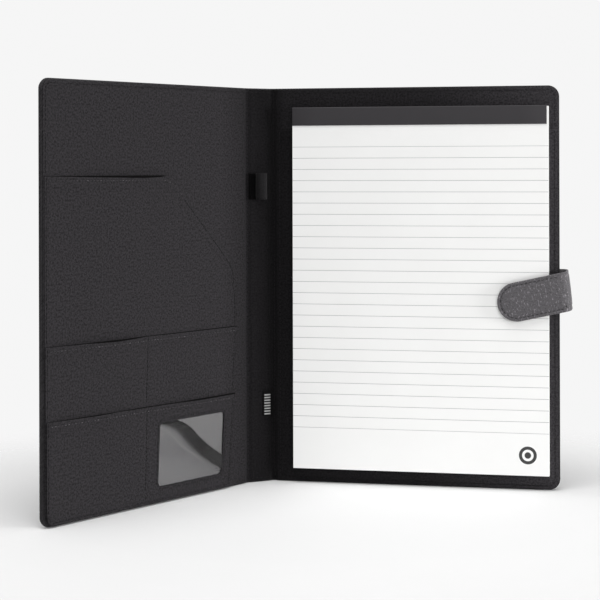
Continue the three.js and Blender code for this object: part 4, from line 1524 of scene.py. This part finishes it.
# %% [markdown]
# The pad is a block of leaves glued along its head. Cut by a guillotine, its sides are almost flat,
# but each batch of leaves lies a tenth of a millimetre off the next, and that makes paper look like
# paper. So the block is a stack of thin slabs with small seeded offsets, and the top leaf is a sheet
# of its own with the rules on it. Tape is a ribbon that goes up the front, over the top and down.

# %% Pad
LEAF_BATCHES = 14
LEAF_SPREAD = 0.12
TOP_LEAF = 0.1
LEAF_GAP = 0.02
UNDER_TOP_LEAF = 0.03
HEAD_ROOM = 0.15
BEHIND_LEAVES = 0.3
BACK_LEAF_SHIFT = 0.0004
random = np.random.default_rng(7)


def box_corners(low, high):
    """Grids of x and z, 2 x 2 points each, of a box's face in panel coordinates (x, y, z)."""
    x = np.array([[low[0], high[0]], [low[0], high[0]]])
    z = np.array([[low[2], low[2]], [high[2], high[2]]])
    return x, z


def leaf_stack():
    """Slabs from the back of the pad to its front, each shifted a little along x and z."""
    leaves_back = slot_low[1] - BEHIND_LEAVES
    edges = np.linspace(leaves_back, pad_low[1] + TOP_LEAF + UNDER_TOP_LEAF, LEAF_BATCHES + 1)
    points, faces, uv = [], [], []

    def add_slab(low, high):
        x, z = box_corners(low, high)
        front = placed("back_cover", x, low[1], z)
        rear = placed("back_cover", x, high[1], z)
        first = sum(len(p) for p in points)
        points.append(np.concatenate([front.reshape(-1, 3), rear.reshape(-1, 3)]))
        faces.append(sheet_faces(2, 2) + first)
        flat_uv = np.stack([x, z], -1).reshape(-1, 2) * MM
        uv.append(np.concatenate([flat_uv, flat_uv + BACK_LEAF_SHIFT]))

    for rear_edge, front_edge in zip(edges[:-1], edges[1:]):
        slip = random.uniform(-LEAF_SPREAD, LEAF_SPREAD, 2)
        low = (pad_low[0] + slip[0], front_edge + LEAF_GAP, pad_low[2] + slip[1])
        high = (pad_high[0] + slip[0], rear_edge, pad_high[2] - HEAD_ROOM + 0.3 * slip[1])
        add_slab(low, high)
    glued_low = (pad_low[0], leaves_back, slot_high[2] + BEHIND_LEAVES)
    add_slab(glued_low, (pad_high[0], pad_high[1], pad_high[2] - HEAD_ROOM))
    grids = [np.concatenate(part) for part in (points, faces, uv)]
    piece = make_piece("leaf_stack", *grids, PAPER, "paper")
    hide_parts("pad_leaves")
    return piece


def top_leaf():
    """The ruled leaf: a thin sheet that waves by a tenth of a millimetre away from its glued head."""
    u = np.linspace(0, PAD_WIDTH, 60)[None, :]
    v = np.linspace(0, PAD_HEIGHT, 84)[:, None]
    u, v = np.broadcast_arrays(u, v)
    free = np.clip((v - 30) / 120, 0, 1)
    wave = 0.06 * (1 + np.sin(u / 21 + v / 60)) * free
    front = pad_low[1] - wave
    x = pad_low[0] + u
    z = pad_high[2] - HEAD_ROOM - v * (PAD_HEIGHT - HEAD_ROOM) / PAD_HEIGHT
    faces = [placed("back_cover", x, depth, z) for depth in (front, front + TOP_LEAF)]
    return make_sheet("top_leaf", *faces, u, v, RULED_PAGE, "paper")


leaves = leaf_stack()
page = top_leaf()


# %% [markdown]
# A ribbon is a band of even thickness that follows a flat path. Its section is the same rounded
# oblong as a board's, turned square to the path at every step. Head tape, pen loop and woven tag
# are all ribbons, and differ only in their path and in which way they are turned.


# %% Ribbons
def ribbon(path, low, high, thickness, closed=False):
    """Loops of a band round a path: thickness square to the path, low to high across it.

    Gives the path coordinates p and q, the height, the UV map and the faces.
    """
    if closed:
        ahead = np.roll(path, -1, 0) - np.roll(path, 1, 0)
    else:
        ahead = np.gradient(path, axis=0)
    ahead = ahead / np.linalg.norm(ahead, axis=1)[:, None]
    side = np.stack([ahead[:, 1], -ahead[:, 0]], -1)
    depth, height, share = oblong_pattern(10, 4)
    radius = thickness / 2 * 0.95
    offset = depth * thickness / 2
    across = (low + radius) * (1 - share) + (high - radius) * share + radius * height
    p = path[:, :1] + side[:, :1] * offset
    q = path[:, 1:] + side[:, 1:] * offset
    across = np.broadcast_to(across, p.shape)
    steps = np.linalg.norm(np.diff(path, axis=0), axis=1)
    length = np.concatenate([[0], np.cumsum(steps)])
    uv = np.stack([np.broadcast_to(length[:, None], p.shape), across], -1) * MM
    rows, columns = p.shape
    if not closed:
        return p, q, across, uv, loft_faces(rows, columns)
    i = np.arange(columns)
    after = (i + 1) % columns
    last = (rows - 1) * columns
    seam = np.stack([last + i, last + after, after, i], -1)
    return p, q, across, uv, np.concatenate([grid_faces(rows, columns, True), seam])


# %% Head tape, pen loop and woven tag
TAPE_THICKNESS = 0.25
TAPE_TURN = 0.7
tape_low, tape_high = measured("pad_head_tape", "back_cover")


def head_tape():
    """Tape over the head: its path is (depth, height), and its width lies along the head."""
    half = TAPE_THICKNESS / 2
    front, back, top = tape_low[1] + half, tape_high[1] - half, tape_high[2] - half
    corners = [(front, tape_low[2]), (front, top), (back, top), (back, tape_low[2])]
    path = rounded_path(corners, TAPE_TURN, 7)
    y, z, x, uv, faces = ribbon(path, tape_low[0], tape_high[0], TAPE_THICKNESS)
    points = placed("back_cover", x, y, z)
    piece = make_piece("head_tape", points, faces, uv, BINDING_TAPE, "binding_tape")
    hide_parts("pad_head_tape")
    return piece


loop_low, loop_high = measured("pen_loop", "spine")
LOOP_CLOTH = 1.1
LOOP_SEAM = 2.5
RING_CLOTH = LOOP_CLOTH * 0.9
END_CLOTH = LOOP_CLOTH * 0.8
END_INSET = 0.2


def pen_loop():
    """Elastic ring, a little flattened, and the doubled end sewn into the front gutter, darker than the
    elastic as painted shadow of the ring.
    """
    near, far = loop_low[1] + LOOP_CLOTH / 2, loop_high[1] - LOOP_CLOTH / 2
    right = loop_high[0] - LOOP_CLOTH / 2
    left = right - (far - near)
    turn = np.linspace(0, 2 * np.pi, 56, endpoint=False)
    p = (left + right) / 2 + (right - left) / 2 * np.cos(turn)
    q = (near + far) / 2 + (far - near) / 2 * np.sin(turn)
    path = np.stack([p, q], -1)
    p, q, z, uv, faces = ribbon(path, loop_low[2], loop_high[2], RING_CLOTH, closed=True)
    tab = np.array([[loop_low[0] - LOOP_SEAM, far - 0.1], [(left + right) / 2 - 1.0, far]])
    ring = make_piece("elastic_pen_loop", placed("spine", p, q, z), faces, uv, ELASTIC, "elastic")
    foot, head = loop_low[2] + END_INSET, loop_high[2] - END_INSET
    p, q, z, uv, faces = ribbon(tab, foot, head, END_CLOTH)
    end = make_piece("pen_loop_end", placed("spine", p, q, z), faces, uv, LOOP_END_SHADOW_CLOTH, "elastic")
    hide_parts("pen_loop")
    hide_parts("pen_loop")
    return ring, end


TAG_TUCK = 2.5
TAG_RIBBON = 0.36
TAG_INSET = 0.19
TAG_TURN = 0.2


def side_tag():
    """Ribbon folded double: out along the spine, round a tight fold, and back into the gutter."""
    near, far = tag_low[1] + TAG_INSET, tag_high[1] - TAG_INSET
    left, right = tag_low[0] + TAG_TURN, tag_high[0] + TAG_TUCK
    corners = [(right, far), (left, far), (left, near), (right, near)]
    path = rounded_path(corners, TAG_TURN, 6)
    p, q, z, uv, faces = ribbon(path, tag_low[2], tag_high[2], TAG_RIBBON)
    uv = np.stack([p, z], -1) * MM
    piece = make_piece("side_tag", placed("spine", p, q, z), faces, uv, WOVEN_TAG, "elastic")
    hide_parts("woven_tag")
    return piece


tape = head_tape()
loop, loop_end = pen_loop()
tag = side_tag()

# %% [markdown]
# The strap is sewn to the outside of the back cover, comes round the fore-edge and lies over the
# page. It leans: its fold line tilts by 6.2 degrees, so the flap points down by twice that. A flat
# band keeps its lengths when it is folded, so the strap is drawn flat, with a along it and b across,
# turned by the lean to s and w, and then s is rolled round two quarter turns. It bends at two hinges
# and is split between them, in the middle of the stretch that crosses the pad's thickness.

# %% Strap: from the flat band to its place
STRAP_WIDTH = 31.5
STRAP_LEAN = math.radians(6.2)
STRAP_OVERHANG = 2.9
STRAP_BELOW_MIDDLE = 0.8
BEND_RADIUS = 5.0
ANCHOR_LENGTH = 62.0
FLAP_LENGTH = 53.0
anchor_low, anchor_high = measured("strap_anchor", "back_cover")
flap_low = measured("strap_flap_outer", "back_cover")[0]
flap_high = measured("strap_flap_lining", "back_cover")[1]
BAND_THICKNESS = anchor_high[1] - anchor_low[1]
FLAP_THICKNESS = flap_high[1] - flap_low[1]
ANCHOR_DEPTH = (anchor_low[1] + anchor_high[1]) / 2
FLAP_DEPTH = (flap_low[1] + flap_high[1]) / 2
BRIDGE_START = BEND_RADIUS * math.pi / 2
BRIDGE_LENGTH = ANCHOR_DEPTH - FLAP_DEPTH - 2 * BEND_RADIUS
BRIDGE_END = BRIDGE_START + BRIDGE_LENGTH
FLAP_START = BRIDGE_END + BRIDGE_START
STRAP_HEIGHT = COVER_HEIGHT / 2 - STRAP_BELOW_MIDDLE


def strap_point(s, w, n):
    """Rolls the flat strap: each quarter turn is a cosine out and a sine through the depth."""
    first = np.clip(s, 0, BRIDGE_START) / BEND_RADIUS
    second = np.clip(s - BRIDGE_END, 0, BRIDGE_START) / BEND_RADIUS
    turn = first + second
    out = np.minimum(s, 0) + BEND_RADIUS * (np.sin(first) - 1 + np.cos(second))
    out = out - np.maximum(s - FLAP_START, 0) + n * np.sin(turn)
    crossed = np.clip(s - BRIDGE_START, 0, BRIDGE_LENGTH)
    deep = ANCHOR_DEPTH - BEND_RADIUS * (1 - np.cos(first) + np.sin(second)) - crossed
    deep = deep + n * np.cos(turn)
    x = COVER_WIDTH + STRAP_OVERHANG + out * math.cos(STRAP_LEAN) - w * math.sin(STRAP_LEAN)
    z = STRAP_HEIGHT + out * math.sin(STRAP_LEAN) + w * math.cos(STRAP_LEAN)
    return placed("back_cover", x, deep, z)


def along_strap(a, b, n):
    """The same from the band's own length a and width b."""
    s = a * math.cos(STRAP_LEAN) + b * math.sin(STRAP_LEAN)
    w = b * math.cos(STRAP_LEAN) - a * math.sin(STRAP_LEAN)
    return strap_point(s, w, n)


# %% Strap: pieces
FLAP_FROM = FLAP_START / math.cos(STRAP_LEAN)
FLAP_END = FLAP_FROM + FLAP_LENGTH
SPLIT_AT = (BRIDGE_START + BRIDGE_END) / 2 / math.cos(STRAP_LEAN)
ANCHOR_CORNER = 4.0
STRAP_SEAM = 2.7
STRAP_STEP = 1.1
PADDING = 0.35
PADDING_REACH = 3.5
STRAP_SEAM_DEPTH = 0.28
PADDING_ROOM = 0.15
UNDER_CLOTH = 0.6
UNDER_GAP = 0.03
UNDER_INSET = 0.4
TIP_END = 0.02


def half_width(a, inset):
    """Half the band's width at a: full, a half circle at the tip, small round corners at the root."""
    half = STRAP_WIDTH / 2 - inset
    tip = np.clip(a - (FLAP_END - STRAP_WIDTH / 2), 0, half)
    root = np.clip(ANCHOR_CORNER - (a + ANCHOR_LENGTH), 0, ANCHOR_CORNER)
    at_tip = np.sqrt(half**2 - tip**2)
    at_root = half - ANCHOR_CORNER + np.sqrt(ANCHOR_CORNER**2 - root**2)
    return np.maximum(np.minimum(at_tip, at_root), 0.35)


def strap_stations(start, end):
    """Even steps along the band, and steps by angle round the tip and the root's corners."""
    straight = np.arange(start, end, STRAP_STEP)
    turn = np.linspace(0, np.pi / 2, 26)
    tip = FLAP_END - STRAP_WIDTH / 2 * (1 - np.sin(turn)) - TIP_END
    root = -ANCHOR_LENGTH + ANCHOR_CORNER * (1 - np.sin(turn))
    straight = straight[(straight < tip[0]) & (straight > root[0])]
    wanted = np.concatenate([root, straight, tip, [start, end]])
    return np.unique(np.round(wanted[(wanted >= start) & (wanted <= end)], 4))


def edge_distance(a, b, inset):
    """Distance from the band's edge, measured to its straight sides and to the tip's half circle."""
    centre = FLAP_END - STRAP_WIDTH / 2
    half = STRAP_WIDTH / 2 - inset
    side = half - np.abs(b)
    tip = half - np.hypot(np.maximum(a - centre, 0), b)
    return np.minimum(np.where(a > centre, tip, side), a + ANCHOR_LENGTH)


def padded_out(a, b):
    """The outer face: raised by its filling, pressed in at the seam, with faint creases."""
    away = edge_distance(a, b, 0)
    crown = PADDING * (1 - np.exp(-np.maximum(away - STRAP_SEAM, 0) / PADDING_REACH))
    groove = -STRAP_SEAM_DEPTH * bell(away - STRAP_SEAM, 0.7)
    crease = 0.05 * np.sin(a / 1.9 + b / 6) * np.exp(-(((a - FLAP_FROM) / 8) ** 2))
    return crown + groove + crease


def strap_piece(name, start, end, near, far, inset, finish, slot, raised):
    """Loft along the band from start to end, between the offsets near(a) and far(a)."""
    a = strap_stations(start, end)
    half = half_width(a, inset)
    radius = np.minimum(0.8, half * 0.6)
    low = near(a)
    high = far(a)
    radius = np.minimum(radius, (high - low) * 0.45)
    n, b = oblong_loops(oblong_pattern(26, 5), -half, half, low, high, radius[:, None])
    along = np.broadcast_to(a[:, None], n.shape)
    top = n > ((low + high) / 2)[:, None]
    n = n + np.where(top & raised, padded_out(along, b), 0)
    points = along_strap(along, b, n)
    uv = np.stack([along, b + n], -1) * MM
    return make_piece(name, points, loft_faces(*n.shape), uv, finish, slot)


def on_flap(a):
    """0 on the band and 1 on the flap, with an even step of 4 mm between them."""
    return np.clip((a - FLAP_FROM + 2) / 4, 0, 1)


def band_near(a):
    """Inner offset of the main cloth: half the band, and above the flap's own lining on the flap."""
    flap = on_flap(a)
    return -BAND_THICKNESS / 2 * (1 - flap) + (UNDER_CLOTH - FLAP_THICKNESS / 2) * flap


def band_far(a):
    """Outer offset: half the band's thickness, growing to half the flap's, less the padding's room."""
    flap = on_flap(a)
    return (BAND_THICKNESS * (1 - flap) + FLAP_THICKNESS * flap) / 2 - PADDING_ROOM


def under_near(a):
    """Inner offset of the flap's lining."""
    return np.full_like(a, -FLAP_THICKNESS / 2)


def under_far(a):
    """Outer offset of the flap's lining, just short of the main cloth."""
    return np.full_like(a, UNDER_CLOTH - UNDER_GAP - FLAP_THICKNESS / 2)


main_cloth = (band_near, band_far, 0.0, STRAP_CLOTH, "strap_cloth", True)
under_cloth = (under_near, under_far, UNDER_INSET, FLAP_LINING, "strap_lining", False)
under_ends = (FLAP_FROM + 1.5, FLAP_END - UNDER_INSET)
strap_band = strap_piece("strap_band", -ANCHOR_LENGTH, SPLIT_AT, *main_cloth)
strap_flap = strap_piece("strap_flap_cloth", SPLIT_AT, FLAP_END - TIP_END, *main_cloth)
strap_under = strap_piece("strap_flap_underside", *under_ends, *under_cloth)
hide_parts("strap_anchor", "strap_root_bend", "strap_bridge")
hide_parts("strap_flap_outer", "strap_tip_bend", "strap_bridge")
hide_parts("strap_flap_lining")

# %% [markdown]
# Stitches are real thread on the real folder, so they are geometry here: a small spindle for each
# stitch, with a few dozen faces, laid end to end along its seam and sunk at its ends. A seam is a
# line in a panel's plane. It is cut into equal steps, the two ends of every stitch are placed on the
# surface, and one array sum copies the spindle to all of them at once.

# %% Stitches
STITCH_PITCH = 3.4
STITCH_LENGTH = 2.5
STITCH_RADIUS = 0.27
STITCH_HUMP = 0.1
LOOK_ALONG = 0.3
SPINDLE_PLACES = np.array([-1.0, -0.82, -0.35, 0.35, 0.82, 1.0])
SPINDLE_SHARES = np.array([0.3, 0.8, 1.0, 1.0, 0.8, 0.3])
SPINDLE_RINGS = len(SPINDLE_PLACES)
SPINDLE_SIDES = 6
SPINDLE_TURN = np.linspace(0, 2 * np.pi, SPINDLE_SIDES, endpoint=False)


def steps_along(line, pitch):
    """Points at an even pitch on a line of (n, 2) points, and the unit direction at each."""
    leg = np.linalg.norm(np.diff(line, axis=0), axis=1)
    run = np.concatenate([[0], np.cumsum(leg)])
    count = max(int(run[-1] / pitch), 1)
    at = (np.arange(count) + 0.5) * run[-1] / count
    middle = np.stack([np.interp(at, run, line[:, k]) for k in (0, 1)], -1)
    ahead = np.stack([np.interp(at + LOOK_ALONG, run, line[:, k]) for k in (0, 1)], -1)
    behind = np.stack([np.interp(at - LOOK_ALONG, run, line[:, k]) for k in (0, 1)], -1)
    direction = ahead - behind
    return middle, direction / np.linalg.norm(direction, axis=1)[:, None]


def stitch_seam(lines, surface, lift=0.03, length=STITCH_LENGTH, radius=STITCH_RADIUS):
    """Points of every stitch on these lines; surface(p, q, lift) gives row-frame points.

    A stitch is a spindle from one end to the other. Its middle stands a little further out than its
    ends, by one less the square of the place along it.
    """
    along = SPINDLE_PLACES[None, :, None, None]
    turn = SPINDLE_TURN[None, None, :, None]
    spread = radius * MM * SPINDLE_SHARES[None, :, None, None]
    made = []
    for line in lines:
        middle, direction = steps_along(np.asarray(line, float), STITCH_PITCH)
        reach = direction * length / 2
        start = surface(*(middle - reach).T, lift)
        end = surface(*(middle + reach).T, lift)
        above = surface(*middle.T, lift + 1.0) - surface(*middle.T, lift)
        axis = (end - start) / 2
        centre = (end + start) / 2
        normal = above / np.linalg.norm(above, axis=1)[:, None]
        side = np.cross(axis, normal)
        side = side / np.linalg.norm(side, axis=1)[:, None]
        centre, axis, normal, side = (part[:, None, None, :] for part in (centre, axis, normal, side))
        hump = normal * (STITCH_HUMP * MM * (1 - along**2))
        round_part = np.cos(turn) * normal + np.sin(turn) * side
        made.append(centre + axis * along + hump + spread * round_part)
    return np.concatenate(made)


def stitching(name, seams, body, finish, slot):
    """One mesh of all the stitches that ride on a body."""
    points = np.concatenate(seams)
    count = len(points)
    one = loft_faces(SPINDLE_RINGS, SPINDLE_SIDES)
    size = SPINDLE_RINGS * SPINDLE_SIDES
    faces = (one[None] + size * np.arange(count)[:, None, None]).reshape(-1, 4)
    u = SPINDLE_PLACES[:, None] * STITCH_LENGTH / 2 * MM
    u = np.broadcast_to(u, (SPINDLE_RINGS, SPINDLE_SIDES))
    v = np.broadcast_to(SPINDLE_TURN / (2 * np.pi) * MM, u.shape)
    uv = np.broadcast_to(np.stack([u, v], -1), (count, SPINDLE_RINGS, SPINDLE_SIDES, 2))
    piece = make_piece(name, points, faces, uv, finish, slot, sharp=80)
    if body:
        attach(piece, body)
    print(f"{name}: {count} stitches")
    return piece


# %% Surfaces and lines of the seams
def on_lining(f, z, lift):
    """Surface of the lining at the flat coordinate f, lifted towards the reader."""
    return folded(f, INNER_FACE - lining_relief(f, z) - lift, z)


def on_pocket(kind):
    """Surface of a pocket panel at s and z."""

    def surface(s, z, lift):
        return on_pocket_side(s, panel_front(s, z, *POCKETS[kind]) - lift, z)

    return surface


def cover_seam(inset, start):
    """Line from the gutter along the foot, round both fore-edge corners and back along the head."""
    end = COVER_WIDTH - inset
    radius = CORNER_RADIUS - inset
    turn = np.linspace(0, np.pi / 2, 12)
    foot = np.stack([end - radius + radius * np.sin(turn), inset + radius * (1 - np.cos(turn))], -1)
    head = np.stack([foot[::-1, 0], COVER_HEIGHT - foot[::-1, 1]], -1)
    return np.concatenate([[[start, inset]], foot, head, [[start, COVER_HEIGHT - inset]]])


def level_line(start, end, height):
    """A level seam."""
    return [[start, height], [end, height]]


def upright_line(place, foot, head):
    """An upright seam."""
    return [[place, foot], [place, head]]


# %% Seams of the front cover
HEM_SEAM = 3.6
front_edge = cover_seam(EDGE_SEAM, SETBACK + 1)
front_edge_flat = np.stack([-SPINE_WIDTH - front_edge[:, 0], front_edge[:, 1]], -1)
above_pocket = front_edge_flat[front_edge_flat[:, 1] > DOCUMENT_MOUTH + 1]
beside_mouth = [[-SPINE_WIDTH - COVER_WIDTH + EDGE_SEAM, DOCUMENT_MOUTH + 2]]
above_pocket = np.concatenate([beside_mouth, above_pocket])
foot_before_pocket = level_line(-SPINE_WIDTH - SETBACK - 1, -SPINE_WIDTH - POCKET_START, EDGE_SEAM)
document_at, document_ahead = steps_along(mouth_line, 1.0)
document_inward = np.stack([document_ahead[:, 1], -document_ahead[:, 0]], -1)
document_hem = document_at + HEM_SEAM * document_inward
document_hem = document_hem[document_hem[:, 0] < POCKET_END - 3]
HEM_TURN = 84.0
HEM_STITCH = 1.7
HEM_THREAD_RADIUS = 0.2
HEM_LIFT = 0.08
POCKET_SIDE = POCKET_START + SIDE_SEAM
FORE_EDGE_SEAM = COVER_WIDTH - EDGE_SEAM
CARD_FLOOR_END = COVER_WIDTH - CORNER_RADIUS
corner_turn = np.linspace(0, np.pi / 2, 10)
seam_radius = CORNER_RADIUS - EDGE_SEAM
corner_along = CARD_FLOOR_END + seam_radius * np.sin(corner_turn)
foot_corner = np.stack([corner_along, CORNER_RADIUS - seam_radius * np.cos(corner_turn)], -1)
window_seam = round_rectangle(
    WINDOW_START - WINDOW_SEAM,
    WINDOW_END + WINDOW_SEAM,
    WINDOW_FOOT - WINDOW_SEAM,
    WINDOW_HEAD + WINDOW_SEAM,
    WINDOW_RADIUS + WINDOW_SEAM,
    9,
)
window_seam = np.concatenate([window_seam, window_seam[:1]])
front_seams = [
    stitch_seam([above_pocket, foot_before_pocket], on_lining),
    stitch_seam(
        [
            document_hem[document_hem[:, 0] < HEM_TURN],
            upright_line(FORE_EDGE_SEAM, MIDDLE_MOUTH + 2, DOCUMENT_MOUTH - 1),
            upright_line(POCKET_SIDE, MIDDLE_MOUTH + 2, DOCUMENT_KNEE - MOUTH_TURN - 2),
        ],
        on_pocket("document_pocket"),
    ),
    stitch_seam(
        [
            upright_line(FORE_EDGE_SEAM, CARD_MOUTH + 2, MIDDLE_MOUTH - 1),
            upright_line(POCKET_SIDE, CARD_MOUTH + 2, MIDDLE_MOUTH - 1),
            upright_line(DIVIDER_SEAM, CARD_MOUTH + 2, MIDDLE_MOUTH - 1),
        ],
        on_pocket("middle_pocket"),
    ),
    stitch_seam(
        [
            upright_line(POCKET_SIDE, EDGE_SEAM + 2, CARD_MOUTH - 1),
            upright_line(DIVIDER_SEAM, EDGE_SEAM + 2, CARD_MOUTH - 1),
            upright_line(FORE_EDGE_SEAM, CORNER_RADIUS + 1, CARD_MOUTH - 1),
            np.concatenate([[[POCKET_SIDE, EDGE_SEAM]], foot_corner]),
            window_seam,
        ],
        on_pocket("card_pocket"),
    ),
]
stitching("front_cover_stitching", front_seams, "front_cover", THREAD, "lining_cloth")
hem_lines = {
    "document_pocket": document_hem[document_hem[:, 0] > HEM_TURN],
    "middle_pocket": level_line(POCKET_START + 3, POCKET_END - 3, MIDDLE_MOUTH - HEM_SEAM),
    "card_pocket": level_line(POCKET_START + 3, POCKET_END - 3, CARD_MOUTH - HEM_SEAM),
}
hem_seams = [
    stitch_seam([line], on_pocket(kind), HEM_LIFT, HEM_STITCH, HEM_THREAD_RADIUS)
    for kind, line in hem_lines.items()
]
stitching("pocket_hem_stitching", hem_seams, "front_cover", HEM_THREAD, "lining_cloth")


# %% Seams of the spine and the back cover
SEAM_PRESS = 0.1


def on_slot_panel(x, z, lift):
    """Surface of the slot panel beside its seams and on its hem."""
    rise = slot_rise(x, z, slot_low[2])[1]
    hem = np.where(slot_high[2] - z < HEM_WIDTH, SLOT_HEM_CLOTH, 0.0)
    pressed = SEAM_PRESS * (rise == 0)
    return placed("back_cover", x, SLOT_SEAT + rise - hem + pressed - lift, z)


spine_ends = [
    level_line(3 - SPINE_WIDTH, -3, EDGE_SEAM),
    level_line(3 - SPINE_WIDTH, -3, COVER_HEIGHT - EDGE_SEAM),
]
spine_rows = [stitch_seam(spine_ends, on_lining)]
stitching("spine_stitching", spine_rows, "spine", BACK_THREAD, "lining_cloth")


def gutter_seam(name, f):
    """The row of stitches that runs up a gutter, which isn't tied to any body."""
    column = upright_line(f, EDGE_SEAM, COVER_HEIGHT - EDGE_SEAM)
    return stitching(name, [stitch_seam([column], on_lining)], None, BACK_THREAD, "lining_cloth")


front_column = gutter_seam("front_gutter_stitching", FRONT_SEAM)
back_column = gutter_seam("back_gutter_stitching", BACK_SEAM)
slot_side = slot_low[0] + SLOT_SEAM
back_edge = cover_seam(EDGE_SEAM, SETBACK + 1)
above_slot = back_edge[back_edge[:, 1] > slot_high[2] + 1]
above_slot = np.concatenate([[[COVER_WIDTH - EDGE_SEAM, slot_high[2] + 2]], above_slot])
back_seams = [
    stitch_seam([above_slot], on_lining),
    stitch_seam(
        [
            upright_line(slot_side, EDGE_SEAM, slot_high[2] - 1),
            level_line(slot_side + 1, CARD_FLOOR_END, EDGE_SEAM),
            foot_corner,
            upright_line(COVER_WIDTH - EDGE_SEAM, CORNER_RADIUS, slot_high[2] - 1),
            level_line(slot_low[0] + 3, slot_high[0] - 3, slot_high[2] - HEM_SEAM),
        ],
        on_slot_panel,
    ),
]
stitching("back_cover_stitching", back_seams, "back_cover", BACK_THREAD, "lining_cloth")


# %% Seams of the strap
def on_strap(a, b, lift):
    """Outer face of the strap."""
    return along_strap(a, b, band_far(a) + padded_out(a, b) + lift)


STRAP_LIFT = 0.02
strap_half = STRAP_WIDTH / 2 - STRAP_SEAM
tip_turn = np.linspace(-np.pi / 2, np.pi / 2, 40)
tip_centre = FLAP_END - STRAP_WIDTH / 2
flap_from = FLAP_FROM + 1.0
tip_line = np.stack([tip_centre + strap_half * np.cos(tip_turn), strap_half * np.sin(tip_turn)], -1)
flap_line = np.concatenate([[[flap_from, -strap_half]], tip_line, [[flap_from, strap_half]]])
flap_bar = [[flap_from - 1.5, -strap_half], [flap_from - 1.5, -strap_half + 4]]
flap_seams = [stitch_seam([flap_line, flap_bar], on_strap, STRAP_LIFT)]
stitching("flap_stitching", flap_seams, "strap_flap", STRAP_THREAD, "strap_cloth")
root = -ANCHOR_LENGTH + STRAP_SEAM
box_end = -8.0
box_start = -34.0
anchor_lines = [
    [[box_end, -strap_half], [root, -strap_half], [root, strap_half], [box_end, strap_half]],
    [[box_end, -strap_half], [box_end, strap_half]],
    [[box_start, -strap_half], [box_start, strap_half]],
    [[root, -strap_half], [box_start, strap_half]],
    [[root, strap_half], [box_start, -strap_half]],
]
anchor_seams = [stitch_seam(anchor_lines, on_strap, STRAP_LIFT)]
stitching("anchor_stitching", anchor_seams, "back_cover", STRAP_THREAD, "strap_cloth")

# %% [markdown]
# The pockets and the slot panel are sheets of cloth that are cut, hemmed, laid on the cover and sewn
# down. For each pocket the height from mouth to foot is worked out across its width, beside what it
# lies on and the area of any hole; nothing is summed or declared from them.


across_pocket = np.linspace(POCKET_START, POCKET_END, 400)
window_corners = (4 - math.pi) * WINDOW_RADIUS**2
window_area = (WINDOW_END - WINDOW_START) * (WINDOW_HEAD - WINDOW_FOOT) - window_corners
LYING_ON = {
    "document_pocket": (front_lining, 0.0),
    "middle_pocket": (pocket_pieces["document_pocket"], 0.0),
    "card_pocket": (pocket_pieces["middle_pocket"], window_area),
}
for kind, (under, hole) in LYING_ON.items():
    heights = POCKETS[kind][1](across_pocket) - pocket_floor(across_pocket)

# %% [markdown]
# Last, the pieces that ride on one body are tied to it. Cloth that crosses a gutter or a fold of the
# strap only has its placing baked into its mesh, and comes last because its mesh has to be final.

# %% Tie the pieces to their bodies
RIDES = {
    "front_cover": [*pocket_pieces.values(), film],
    "spine": [loop, loop_end, tag],
    "back_cover": [slot_piece],
    "notepad": [leaves, page, tape],
    "strap_flap": [strap_under],
}
for body, riders in RIDES.items():
    for rider in riders:
        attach(rider, body)
for piece in (back_skin, back_lining, back_column):
    bend_at_gutter(piece, "back_cover")
for piece in (front_skin, front_lining, front_column):
    bend_at_gutter(piece, "front_cover")


def strap_middle(s):
    """Row-frame point on the strap's middle line."""
    return strap_point(np.array(s), 0.0, 0.0).tolist()


root_from, root_to = strap_middle(0.0), strap_middle(BRIDGE_START)
tip_from, tip_to = strap_middle(BRIDGE_END), strap_middle(FLAP_START)
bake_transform(strap_band)
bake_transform(strap_flap)
